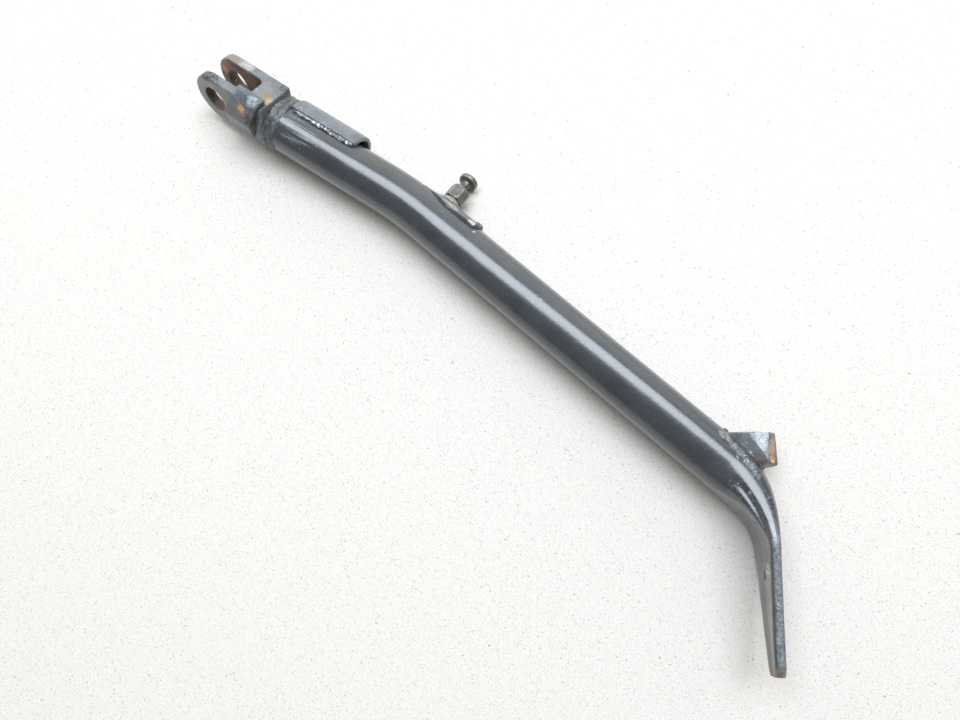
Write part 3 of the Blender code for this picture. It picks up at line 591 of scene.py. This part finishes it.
# %% Middle line of the tube
TRIM_A = UPPER_RADIUS * math.tan(UPPER_BEND / 2)
TRIM_B = LOWER_RADIUS * math.tan(LOWER_BEND / 2)
RUNS = ((UPPER_LEG - HEAD_TO_TUBE - TRIM_A, 0.0), (UPPER_RADIUS * UPPER_BEND, UPPER_RADIUS),
        (LOWER_LEG - TRIM_A - TRIM_B, 0.0), (LOWER_RADIUS * LOWER_BEND, LOWER_RADIUS),
        (FOOT_LENGTH - TRIM_B, 0.0))
LINE_LENGTH = sum(run[0] for run in RUNS)
VERTEX = LINE_LENGTH - FOOT_LENGTH + TRIM_B - LOWER_RADIUS * LOWER_BEND / 2


def line_frame(distance, twist=0.0):
    """Point, tangent, outer side and up direction at a distance along the tube."""
    x, y, heading, left = HEAD_TO_TUBE, 0.0, 0.0, distance
    for length, radius in RUNS:
        step = min(left, length)
        if radius == 0.0:
            x += step * math.cos(heading)
            y -= step * math.sin(heading)
        else:
            turned_to = heading + step / radius
            x += radius * (math.sin(turned_to) - math.sin(heading))
            y += radius * (math.cos(turned_to) - math.cos(heading))
            heading = turned_to
        left -= step
        if left <= 0:
            break
    tangent = Vector((math.cos(heading), -math.sin(heading), 0))
    side = Vector((math.sin(heading), math.cos(heading), 0))
    turn = Matrix.Rotation(math.radians(twist), 3, tangent)
    return Vector((x, y, 0)), tangent, turn @ side, turn @ Vector((0, 0, 1))


print("tube's middle line is", round(LINE_LENGTH / MM, 1), "mm long")

# %% [markdown]
# ## The tube and its pressed foot
# The foot is made by squeezing the end of the tube in a press, so its wall length stays the same:
# as the section gets thinner it gets taller, and two folds stay along its edges. Where a bend and
# a press meet, the inner wall has nowhere to go and leaves a groove and a lip beside the upper
# fold. The press leaves shallow dents as well, and a small drain hole is drilled through the flat.

# %% Tube and foot
FOOT_THICKNESS = 5.0 * MM
FOOT_TWIST = 8.0
PRESS = 22.0 * MM
TIP = 8.5 * MM
DISH = 0.6 * MM
CREASE_FROM, CREASE_TO, CREASE_FADE = -17.0 * MM, 19.0 * MM, 9.0 * MM
GROOVE = (114.0, 7.5, -0.75 * MM)
LIP = (130.0, 9.0, 0.38 * MM)
DENT = (11.0 * MM, 0.32 * MM)
RIPPLE = (6.0 * MM, 0.05 * MM)


def press_mark(place, degrees, crease, pressed):
    """How far the wall is pushed out at a point of a section."""
    push = 0.0
    for at_angle, width, height in (GROOVE, LIP):
        push += crease * height * math.exp(-((degrees - at_angle) / width) ** 2)
    push += pressed * DENT[1] * noise.noise(place / DENT[0])
    return push + RIPPLE[1] * noise.noise(place / RIPPLE[0])


SIDES = 112
PLAIN_STEP = 4.0 * MM
FINE_STEP = 1.5 * MM
PRESS_SEEN_FROM = 42.0 * MM
TIP_TURNS = (0, 12, 24, 36, 47, 57, 66, 74, 81, 86)


def tube_section(distance, grow=0.0, marked=True):
    past = distance - VERTEX
    pressed = smooth((past + PRESS) / (2 * PRESS))
    thick = TUBE_RADIUS + (FOOT_THICKNESS / 2 - TUBE_RADIUS) * pressed
    tall = math.pi / 2 * TUBE_RADIUS - (math.pi / 2 - 1) * thick
    taper_end = FOOT_LENGTH - TIP
    if past > PRESS:
        tall += (TIP - tall) * min(1.0, (past - PRESS) / (taper_end - PRESS)) ** 0.8
    if past > taper_end:
        tall = math.sqrt(max(0.0, TIP ** 2 - (past - taper_end) ** 2))
    thick = min(thick, tall)
    tall, thick = tall + grow, thick + grow
    point, _, side, up = line_frame(distance, FOOT_TWIST * pressed)
    crease = smooth((past - CREASE_FROM) / CREASE_FADE) * smooth((CREASE_TO - past) / CREASE_FADE)
    flat = tall - thick
    ring = []
    for k in range(SIDES):
        turn = 2 * math.pi * k / SIDES
        height = tall * math.sin(turn)
        if abs(height) < flat:
            reach = thick - DISH * pressed * math.cos(math.pi / 2 * height / flat) ** 2
        else:
            reach = math.sqrt(max(0.0, thick ** 2 - (abs(height) - flat) ** 2))
        place = point + side * math.copysign(reach, math.cos(turn)) + up * height
        if marked and past < taper_end:
            out = (side * math.cos(turn) + up * math.sin(turn)).normalized()
            place = place + out * press_mark(place, math.degrees(turn), crease, pressed)
        ring.append(place)
    return ring


def tube_marks():
    """Distances along the tube at which it gets a section."""
    taper_end = LINE_LENGTH - TIP
    marks, mark = [0.0], 0.0
    while mark < taper_end - FINE_STEP:
        near_press = mark > LINE_LENGTH - FOOT_LENGTH - PRESS_SEEN_FROM
        mark += FINE_STEP if near_press else PLAIN_STEP
        marks.append(mark)
    marks = [mark for mark in marks if mark < taper_end - 0.5 * MM]
    return marks + [taper_end + TIP * math.sin(math.radians(turn)) for turn in TIP_TURNS]


HOLE_FROM_BEND = 35.0 * MM
HOLE_RADIUS = 2.0
tube = as_object("bent_tube", loft([tube_section(mark) for mark in tube_marks()]))
hole_at, _, hole_side, _ = line_frame(LINE_LENGTH - FOOT_LENGTH + HOLE_FROM_BEND, FOOT_TWIST)
across = Matrix.Translation(hole_at) @ hole_side.to_track_quat("Z", "Y").to_matrix().to_4x4()
drill = [[across @ (Vector((x, y, z)) * MM) for x, y in arc((0, 0), HOLE_RADIUS, 0, 348, 29)]
         for z in (-12, 12)]
cut(tube, loft(drill))
place_piece(tube, STAND, TUBE_ENAMEL_AND_FOLD_HIGHLIGHT, "leg_tube")

# %% [markdown]
# ## The forked head
# The head is a forging: two rounded ears with the pivot hole through both, joined by a solid web.
# It is cut from a block here as a machinist would, outline first, then the slot, and its edges are
# rounded; the bore comes last and gets only a small broken edge, as a drill leaves it.

# %% Forked head
EAR = 13.5 * MM
HALF_HEAD = 11.25 * MM
HALF_SLOT = 5.75 * MM
SLOT_DEPTH = 22.5 * MM
CORNER = 3.0 * MM
HEAD_END = 36.0 * MM
BORE = 6.9 * MM


def across_head(outline, half_width):
    """A block with this outline in X and Z, as wide as twice a half width."""
    return loft([[Vector((x, y, z)) for x, z in outline] for y in (-half_width, half_width)])


profile = arc((0, 0), EAR, 90, 270, 48) + [(HEAD_END, -EAR), (HEAD_END, EAR)]
head = as_object("forked_head", across_head(profile, HALF_HEAD))
slot = [(-2 * EAR, -HALF_SLOT)] + arc((SLOT_DEPTH - CORNER, CORNER - HALF_SLOT), CORNER, -90, 0, 8)
slot += arc((SLOT_DEPTH - CORNER, HALF_SLOT - CORNER), CORNER, 0, 90, 8) + [(-2 * EAR, HALF_SLOT)]
cut(head, loft([[Vector((x, y, z)) for x, y in slot] for z in (-2 * EAR, 2 * EAR)]))
round_edges(head, 0.95, 40)
cut(head, across_head(arc((0, 0), BORE, 0, 354.4, 63), 2 * HALF_HEAD))
round_edges(head, 0.2, 40, 2)


def slot_or_outside(centre, normal):
    beside_slot = abs(centre.y) < HALF_SLOT + 0.2 * MM and abs(centre.z) < EAR - 0.6 * MM
    in_slot = beside_slot and centre.x < SLOT_DEPTH + 0.1 * MM
    in_bore = abs(normal.y) < 0.5 and math.hypot(centre.x, centre.z) < BORE + 0.2 * MM
    return 1 if in_slot or in_bore else 0


paint_faces(head, (HEAD_ENAMEL, SLOT_RUST_AND_SHADE), slot_or_outside)
place_piece(head, HEAD, HEAD_ENAMEL, "clevis_head")

# %% [markdown]
# ## The stop block
# A short bar on the near ear meets the bracket and stops the stand's swing. It is drawn from its
# outline across the ear, with both ends leaning, and a generous bevel gives its cast corners.

# %% Stop block
STOP_TOP = EAR + 4.0 * MM
STOP_ENDS = (12.0 * MM, 30.0 * MM)
STOP_LEAN = 0.35
face = -HALF_HEAD
outline = [(face, -0.75 * EAR), (face - 1.2 * MM, -0.75 * EAR), (face - 5.6 * MM, 0.25 * EAR),
           (face - 2.24 * MM, 0.82 * STOP_TOP), (face + 1.9 * MM, STOP_TOP),
           (-HALF_SLOT, STOP_TOP - 0.4 * MM), (-HALF_SLOT, EAR), (face, EAR)]
stop = as_object("swing_stop_block", loft([[Vector((x + STOP_LEAN * z, y, z)) for y, z in outline]
                                           for x in STOP_ENDS]))
round_edges(stop, 1.7, 25, 5)
place_piece(stop, HEAD, STOP_ENAMEL_AND_HIGHLIGHT, "stop_block")

# %% [markdown]
# ## The stiffening channel
# A strip of plate rolled into a shallow half pipe lies along the outside of the tube behind the
# head. It touches the tube along its two edges and stands off it between them, so a dark hollow
# shows at its end, where it is pinched a little narrower.

# %% Channel
CHANNEL_START = HEAD_TO_TUBE + 2.7 * MM
CHANNEL_END = CHANNEL_START + 40.0 * MM
CHANNEL_HALF = 64.0
CHANNEL_GAP = 0.6 * MM
CHANNEL_RISE = 2.6 * MM
CHANNEL_WALL = 2.2 * MM
PINCH = 0.10


def half_pipe(wall):
    """Half pipe round the tube: close to it at its two edges and lifted between them."""
    points = []
    for k in range(41):
        share = 2 * k / 40 - 1
        lift = CHANNEL_RISE * math.cos(math.pi / 2 * share)
        reach = TUBE_RADIUS + CHANNEL_GAP + lift + wall
        turn = math.radians(CHANNEL_HALF * share)
        points.append((reach * math.cos(turn), reach * math.sin(turn)))
    return points


skin = half_pipe(CHANNEL_WALL) + half_pipe(0.0)[::-1]
sections = []
for k in range(21):
    x = CHANNEL_START + (CHANNEL_END - CHANNEL_START) * k / 20
    width = 1 - PINCH * (1 - smooth((CHANNEL_END - x) / (3.5 * MM)))
    sections.append([Vector((x, y, z * width)) for y, z in skin])
channel = as_object("stiffening_channel", loft(sections))
round_edges(channel, 0.55, 50, 3)
place_piece(channel, STAND, CHANNEL_ENAMEL, "tail_channel")

# %% [markdown]
# ## The spring stud
# The return spring hooks over a stud turned from hexagon bar: a round shank welded at its foot, a
# length of hexagon with chamfered ends, a waist where the spring sits, and a head that keeps the
# spring on. Sections along its axis change from round to hexagon and back.

# %% Spring stud
STUD_DISTANCE = 137.5 * MM - HEAD_TO_TUBE
STUD_DIP = math.radians(11.2)
stud_point = line_frame(STUD_DISTANCE)[0]
stud_axis = Vector((0, math.cos(STUD_DIP), -math.sin(STUD_DIP)))
STUD = Matrix.Translation(stud_point) @ stud_axis.to_track_quat("Z", "X").to_matrix().to_4x4()


def stud_ring(radius_mm, height, flats=None, corner=None):
    """A round section, or a hexagon of these flats whose corners are turned off at a radius."""
    ring = []
    for k in range(96):
        angle = 2 * math.pi * k / 96
        reach = radius_mm
        if flats:
            within = (angle + math.pi / 6) % (math.pi / 3) - math.pi / 6
            reach = min(flats / math.cos(within), corner)
        around = (reach * math.cos(angle) * MM, reach * math.sin(angle) * MM, height)
        ring.append(STUD @ Vector(around))
    return ring


REST = TUBE_RADIUS + 2.0 * MM
HALF_FLATS = 4.9
HEX_LOW = REST + 2.6 * MM
HEX_HIGH = HEX_LOW + 8.4 * MM
HEAD_LOW = HEX_HIGH + 6.0 * MM
HEAD_HIGH = HEAD_LOW + 3.2 * MM
CHAMFER = ((0.0, 4.95), (0.25, 5.2), (0.5, 5.38), (0.8, 5.5))
TOP_CHAMFER = CHAMFER[:0:-1] + ((0.0, 4.85),)
# Each pair is a radius in millimetres and a height.
WAIST_AND_HEAD = (
    (3.6, HEX_HIGH + 0.15 * MM), (3.0, HEX_HIGH + 0.7 * MM), (2.65, HEX_HIGH + 1.6 * MM),
    (2.45, HEX_HIGH + 3.0 * MM), (2.4, HEAD_LOW - 1.3 * MM), (2.6, HEAD_LOW - 0.6 * MM),
    (3.6, HEAD_LOW - 0.15 * MM), (4.7, HEAD_LOW + 0.05 * MM), (5.1, HEAD_LOW + 0.4 * MM),
    (5.2, HEAD_LOW + 0.9 * MM), (5.2, HEAD_HIGH - 1.1 * MM), (5.0, HEAD_HIGH - 0.6 * MM),
    (4.4, HEAD_HIGH - 0.2 * MM), (3.4, HEAD_HIGH), (1.4, HEAD_HIGH))
sections = [stud_ring(4.4, REST - 1.5 * MM), stud_ring(4.3, REST + 0.8 * MM),
            stud_ring(4.25, HEX_LOW - 0.1 * MM)]
for lift, corner in CHAMFER:
    sections.append(stud_ring(0, HEX_LOW + lift * MM, HALF_FLATS, corner))
for lift, corner in TOP_CHAMFER:
    sections.append(stud_ring(0, HEX_HIGH - lift * MM, HALF_FLATS, corner))
sections += [stud_ring(radius, height) for radius, height in WAIST_AND_HEAD]
stud = as_object("hexagon_spring_stud", loft(sections))
place_piece(stud, STAND, STUD_STEEL, "spring_stud", 32)

# %% [markdown]
# ## The saddle under the stud
# A curved strap spreads the spring's pull over the tube. It is bent from thin plate to the tube's
# own radius, and swells a little where the stud's heat drew it up.

# %% Saddle
SADDLE_MIDDLE = 101.2
SADDLE_START = STUD_DISTANCE - 14.0 * MM
SADDLE_END = STUD_DISTANCE + 20.0 * MM
SADDLE_HALF, SADDLE_SPREAD = 46.0, 17.0
SADDLE_PLATE = 1.5 * MM


def saddle_ring(distance, radius, low, high, lift=0.0):
    """An arc round the tube between two angles, lifted in its middle."""
    point, _, side, up = line_frame(distance)
    ring = []
    for k in range(41):
        angle = math.radians(low + (high - low) * k / 40)
        crown = lift * math.cos(math.pi * (k / 40 - 0.5)) ** 2
        around = side * math.sin(angle) + up * math.cos(angle)
        ring.append(point + around * (radius + crown))
    return ring


sections = []
for k in range(52):
    distance = SADDLE_START + (SADDLE_END - SADDLE_START) * k / 51
    swell = 0.5 * MM * math.exp(-((distance - STUD_DISTANCE + 6 * MM) / (4 * MM)) ** 2)
    grown = smooth((distance - SADDLE_START) / (17 * MM))
    half = SADDLE_HALF + SADDLE_SPREAD * grown
    low, high = SADDLE_MIDDLE - half, SADDLE_MIDDLE + half
    top = TUBE_RADIUS + 0.12 * MM + SADDLE_PLATE * grown
    sections.append(saddle_ring(distance, top, low, high, swell)
                    + saddle_ring(distance, TUBE_RADIUS - 0.1 * MM, high, low))
saddle = as_object("stud_saddle_strap", loft(sections))
round_edges(saddle, 0.16, 50, 2)
place_piece(saddle, STAND, SADDLE_ENAMEL, "stud_saddle")

# %% [markdown]
# ## The boot lug
# The rider pushes this lug down with a boot. It is a small solid wedge in the outer corner of the
# lower bend: its corner points are wrapped in a convex skin, the edges are rounded as a boot has
# worn them, and the tube's own shape is cut from it so that it sits down on the tube. The corners
# are given as out from the tube, back towards the head, and up.

# %% Boot lug
LUG_NEAR, LUG_FAR = 13.8, 29.3
lug_heading = UPPER_BEND + LOWER_BEND
lug_out = Vector((math.sin(lug_heading), math.cos(lug_heading), 0))
lug_back = Vector((-math.cos(lug_heading), math.sin(lug_heading), 0))
bend_vertex = Vector((UPPER_LEG + LOWER_LEG * math.cos(UPPER_BEND),
                      -LOWER_LEG * math.sin(UPPER_BEND), 0))
lug_axes = Matrix((lug_out, lug_back, Vector((0, 0, 1)))).transposed()
LUG = Matrix.Translation(bend_vertex) @ lug_axes.to_4x4()
corners = [(-8.05, LUG_FAR - 1, 10.2), (1.75, LUG_FAR - 1, 10.2), (0.7, LUG_NEAR + 1.2, 10.2),
           (7.0, LUG_FAR, 4.1), (7.0, LUG_NEAR, 4.1), (7.0, LUG_FAR, -1.8), (7.0, LUG_NEAR, -1.8),
           (4.2, LUG_FAR, -6.0), (4.2, LUG_NEAR, -6.0), (-22.4, LUG_FAR, 1.0),
           (-22.4, LUG_FAR, -6.0), (-15.4, LUG_NEAR, 0.5), (-15.4, LUG_NEAR, -6.0)]
bm = bmesh.new()
for corner in corners:
    bm.verts.new(LUG @ (Vector(corner) * MM))
wrapped = bmesh.ops.convex_hull(bm, input=bm.verts)
inside = [item for item in wrapped["geom_interior"] if isinstance(item, bmesh.types.BMVert)]
bmesh.ops.delete(bm, geom=inside, context="VERTS")
bmesh.ops.dissolve_limit(bm, angle_limit=math.radians(1), verts=bm.verts, edges=bm.edges)
lug = as_object("boot_lug", bm)
round_edges(lug, 1.1, 22, 5)
core_marks = [mark for mark in tube_marks() if mark > 150 * MM]
cut(lug, loft([tube_section(mark, -0.4 * MM, False) for mark in core_marks]))


def lug_side(centre, normal):
    """Rust on the outer strip; towards the tube and below a darker copy of the enamel as painted
    shade; on top a lighter copy as painted light.
    """
    outwards, upwards = normal.dot(lug_out), normal.z
    if outwards > 0.35:
        return 2
    return 1 if outwards < -0.2 or upwards < 0.35 else 0


paint_faces(lug, (LUG_ENAMEL_PAINTED_LIGHT, LUG_ENAMEL_PAINTED_SHADE, LUG_RUST), lug_side)
place_piece(lug, STAND, LUG_ENAMEL_PAINTED_LIGHT, "kick_lug", 40)

# %% [markdown]
# ## How a bead is made
# Each joint was welded by hand. A bead is a row of overlapping puddles, so its radius ripples, and
# spatter makes it lumpy. A loft along the joint with many small sections lets noise push the
# surface in and out, more strongly for the rough beads than for the smooth ones.

# %% Bead and channel seams
PUDDLE = 1.6 * MM
RIPPLED = 0.07


def rough_bead(path, radius_mm, lumps, seed, sides=22):
    shift = Vector((seed * 7.3, seed * 3.1, seed * 5.7))
    radius = radius_mm * MM
    lengths = [0.0]
    for a, b in zip(path, path[1:]):
        lengths.append(lengths[-1] + (b - a).length)
    sections = []
    previous = None
    for k, point in enumerate(path):
        ahead = path[min(k + 1, len(path) - 1)] - path[max(k - 1, 0)]
        across = ahead.orthogonal().normalized() if previous is None else previous
        across = (across - ahead * across.dot(ahead) / ahead.length_squared).normalized()
        previous = across
        upward = ahead.cross(across).normalized()
        to_end = min(lengths[k], lengths[-1] - lengths[k])
        close = min(1.0, 0.2 + 0.8 * to_end / (1.2 * radius))
        ripple = 1 + RIPPLED * math.sin(2 * math.pi * lengths[k] / PUDDLE)
        ring = []
        for i in range(sides):
            turn = 2 * math.pi * i / sides
            out = across * math.cos(turn) + upward * math.sin(turn)
            spot = (point + out * radius) / MM
            spatter = noise.noise(spot / 2.2 + shift) + 0.5 * noise.noise(spot / 0.9 + shift)
            ring.append(point + out * radius * ripple * close * (1 + lumps * spatter))
        sections.append(ring)
    return loft(sections)


def round_tube(start_at, end_at, angle_a, angle_b, radius, steps, sway=0.0, seed=0.0):
    """Points on a cylinder round the tube, from one distance and angle to another."""
    path = []
    for k in range(steps + 1):
        share = k / steps
        point, _, side, up = line_frame(start_at + (end_at - start_at) * share)
        wander = sway * noise.noise(Vector((share * 9, seed, 0)))
        turn = math.radians(angle_a + (angle_b - angle_a) * share + wander)
        path.append(point + (side * math.sin(turn) + up * math.cos(turn)) * radius)
    return path


for name, node, sign in (("channel_weld_upper", "weld_channel_top", 1),
                         ("channel_weld_lower", "weld_channel_bottom", -1)):
    edge_angle = 90 - sign * 62
    path = round_tube(3.6 * MM, 41.5 * MM, edge_angle, edge_angle - sign * 3,
                      TUBE_RADIUS + 0.7 * MM, 110, 5.0, sign)
    place_weld(name, rough_bead(path, 1.05, 0.5, sign + 2), SEAM_WELD, node)

# %% [markdown]
# ## Beads at the saddle and the lug
# The saddle has a thin bead at its near end and a thick one at its far end. The lug has one on each
# side and one along the top of the tube. Each row of the table is a piece: its path, its radius in
# millimetres, how lumpy it is, its seed, its number of sides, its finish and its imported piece.

# %% Saddle and lug beads
def round_saddle(distance, radius, steps):
    low, high = SADDLE_MIDDLE - 58, SADDLE_MIDDLE + 58
    return round_tube(distance, distance, low, high, radius, steps)


leg_side, foot_side = [], []
for k in range(61):
    z = 6.5 - 13.0 * k / 60
    level = math.sqrt((TUBE_RADIUS / MM) ** 2 - z ** 2)
    out = (level - math.sin(LOWER_BEND) * LUG_FAR) / math.cos(LOWER_BEND)
    leg_side.append(LUG @ (Vector((out - 1.2, LUG_FAR - 0.2, z)) * MM))
    foot_side.append(LUG @ (Vector((-2.6 + 1.8 * k / 60, LUG_NEAR + 0.6, z)) * MM))
near_end = round_saddle(SADDLE_START, TUBE_RADIUS - 0.1 * MM, 70)
far_end = round_saddle(SADDLE_END, TUBE_RADIUS + 0.5 * MM, 80)
along_tube = round_tube(269 * MM, 298 * MM, 37, 12, TUBE_RADIUS - 0.7 * MM, 60)
for name, path, radius_mm, lumps, seed, sides, finish, node in (
        ("saddle_weld_near", near_end, 0.32, 0.2, 4, 22, DARK_WELD, "weld_saddle_near"),
        ("saddle_weld_far", far_end, 1.6, 0.4, 5, 22, FAR_WELD, "weld_saddle_far"),
        ("lug_weld_leg_side", leg_side, 1.6, 0.1, 6, 22, DARK_WELD, "weld_lug_leg"),
        ("lug_weld_along_tube", along_tube, 2.1, 0.28, 8, 26, FAR_WELD, None),
        ("lug_weld_foot_side", foot_side, 2.9, 0.35, 7, 22, BROWN_WELD, "weld_lug_foot")):
    place_weld(name, rough_bead(path, radius_mm, lumps, seed, sides), finish, node)

# %% [markdown]
# ## Weld rings at the stud and at the head
# Two beads close on themselves: the fillet round the stud's foot, and the bead that joins the
# head's block to the end of the tube. Each is a profile carried round an axis, with noise on its
# radius so that it is never quite round.

# %% Ring welds
def ring_section(profile, place_point, turn, seed, lumps, build_up=0.0):
    """One profile of a ring bead; build_up thickens its crown on the side where turn is zero."""
    made = []
    for radius, height in profile:
        if radius > TUBE_RADIUS / MM - 0.1:
            radius += build_up * max(0.0, math.cos(turn)) ** 1.5
        spot = Vector((radius * math.cos(turn), radius * math.sin(turn), height + seed))
        push = lumps * (noise.noise(spot / 2.4) + 0.5 * noise.noise(spot))
        made.append(place_point(radius + push, height, turn))
    return made


def round_stud(radius, height, turn):
    return STUD @ (Vector((radius * math.cos(turn), radius * math.sin(turn), height)) * MM)


def round_head(radius, height, turn):
    return Vector((height, radius * math.cos(turn), radius * math.sin(turn))) * MM


def ring_bead(profile, place_point, steps, seed, lumps, build_up=0.0):
    turns = [2 * math.pi * k / steps for k in range(steps)]
    return loft([ring_section(profile, place_point, turn, seed, lumps, build_up)
                 for turn in turns], True)


fillet = [(3.9, 12.6), (7.3, 12.6), (7.5, 13.9), (6.6, 14.7), (5.7, 15.3), (5.0, 16.0),
          (4.5, 16.9), (3.9, 16.9)]
crown = [(10.4, 33.5), (12.4, 33.5), (13.2, 34.3), (13.5, 35.6), (13.4, 36.6), (12.9, 37.6),
         (13.1, 38.6), (13.5, 39.6), (13.4, 40.8), (12.95, 41.9), (12.5, 42.8), (10.4, 42.8)]
place_weld("stud_foot_weld", ring_bead(fillet, round_stud, 120, 3.0, 0.45), STUD_WELD, "weld_stud")
place_weld("head_ring_weld", ring_bead(crown, round_head, 180, 9.0, 0.5, 2.9), RING_WELD,
           "weld_ring")

# %% [markdown]
# ## The floor
# The stand lies on a plain board painted with pale matt emulsion, an even and almost white ground
# that still shows a fine grain, a few dark specks and short grey hairs.

# %% Floor
HALF_FLOOR = 4.0


def make_floor_paint():
    made, tree, shader, place = begin_material("pale_matt_emulsion")
    drawn_out = add_node(tree, "ShaderNodeMapping", {},
                         {"Vector": place, "Rotation": (0, 0, 0.7), "Scale": (1, 4, 1)})
    grain = specks(tree, place, 0.7, 0.50, 0.68)
    dirt = specks(tree, place, 1.0, 0.62, 0.70)
    hairs = specks(tree, drawn_out.outputs[0], 4.0, 0.68, 0.74)
    finish = {"colour": linear("#cfccc7"), "rough": 0.9, "metal": 0.0}
    for mask, colour in ((grain, "#b9b6b1"), (dirt, "#83817d"), (hairs, "#a5a39f")):
        finish = lay_over(tree, finish, [mask], colour, 0.9)
    end_material(tree, shader, place, finish, 1.2, 0.02, 2.0, 0.5)
    return made


bm = bmesh.new()
rim = ((-1, -1), (1, -1), (1, 1), (-1, 1))
bm.faces.new([bm.verts.new((HALF_FLOOR * x, HALF_FLOOR * y, 0)) for x, y in rim])
floor = as_object("floor_board", bm)
floor.data.materials.append(make_floor_paint())
print("floor", 2 * HALF_FLOOR, "m across")

# %% [markdown]
# ## Light
# A gloss tube is seen mostly by what it reflects, so the lamps are placed for their reflections.
# One long lamp high on the far side runs along the tube and gives it its narrow highlight and a
# soft shadow. A wide pale screen low behind it gives the broad grey sheen on the far side of the
# tube. A weak even sky fills the rest.

# %% Lights
AWAY = Vector((-0.538, 0.843, 0))
ALONG = Vector((0.843, 0.538, 0))
SKY = 0.36


def towards(elevation, distance, sideways=0.0):
    """A place on the far side of the tube, at an angle above the floor and shifted along it."""
    angle = math.radians(elevation)
    out = AWAY * math.cos(angle) + Vector((0, 0, 1)) * math.sin(angle)
    return out * distance + ALONG * sideways


def soft_light(name, place, size, radiance, tint):
    """A rectangular lamp that faces the stand; its power follows from its area."""
    lamp = bpy.data.lights.new(name, "AREA")
    lamp.shape = "RECTANGLE"
    lamp.size, lamp.size_y = size
    lamp.energy = radiance * math.pi * size[0] * size[1]
    lamp.color = linear(tint)[:3]
    thing = bpy.data.objects.new(name, lamp)
    bpy.context.scene.collection.objects.link(thing)
    facing = -place.normalized()
    upward = ALONG.cross(facing).normalized()
    turn = Matrix((ALONG, upward, -facing)).transposed()
    thing.matrix_world = Matrix.Translation(place) @ turn.to_4x4()
    print(name, round(lamp.energy, 1), "W")


soft_light("key_lamp", towards(72, 1.6, 0.1), (1.9, 0.86), 8.7, "#f1f5fc")
soft_light("far_screen", towards(24, 2.2, 0.2), (4.4, 1.9), 1.35, "#f6faf4")

world = bpy.data.worlds.new("even_sky")
world.use_nodes = True
fill(world.node_tree, world.node_tree.nodes["Background"],
     {"Color": linear("#fffefa"), "Strength": SKY})
bpy.context.scene.world = world
bpy.context.scene.view_settings.view_transform = "Standard"

# %% [markdown]
# ## Camera
# The camera looks almost straight down from about 37 cm, with the stand running from the upper
# left to the lower right. Its lens is a little wide, so the head leans slightly away.

# %% Camera
lens = bpy.data.cameras.new("camera")
lens.sensor_width = 36
lens.lens = 27.75
lens.clip_start = 0.01
camera = bpy.data.objects.new("camera", lens)
bpy.context.scene.collection.objects.link(camera)
camera.location = (0.0698, -0.0596, 0.372)
camera.rotation_euler = [math.radians(turn) for turn in (10.92, 4.04, 33.32)]
bpy.context.scene.camera = camera
print("camera at", [round(v, 3) for v in camera.location])

# %% [markdown]
# ## Last update
# The view layer is updated once more, so that every piece stands where it was placed. The finer
# shapes must stay inside the imported model's box.

# %% Last update
bpy.context.view_layer.update()
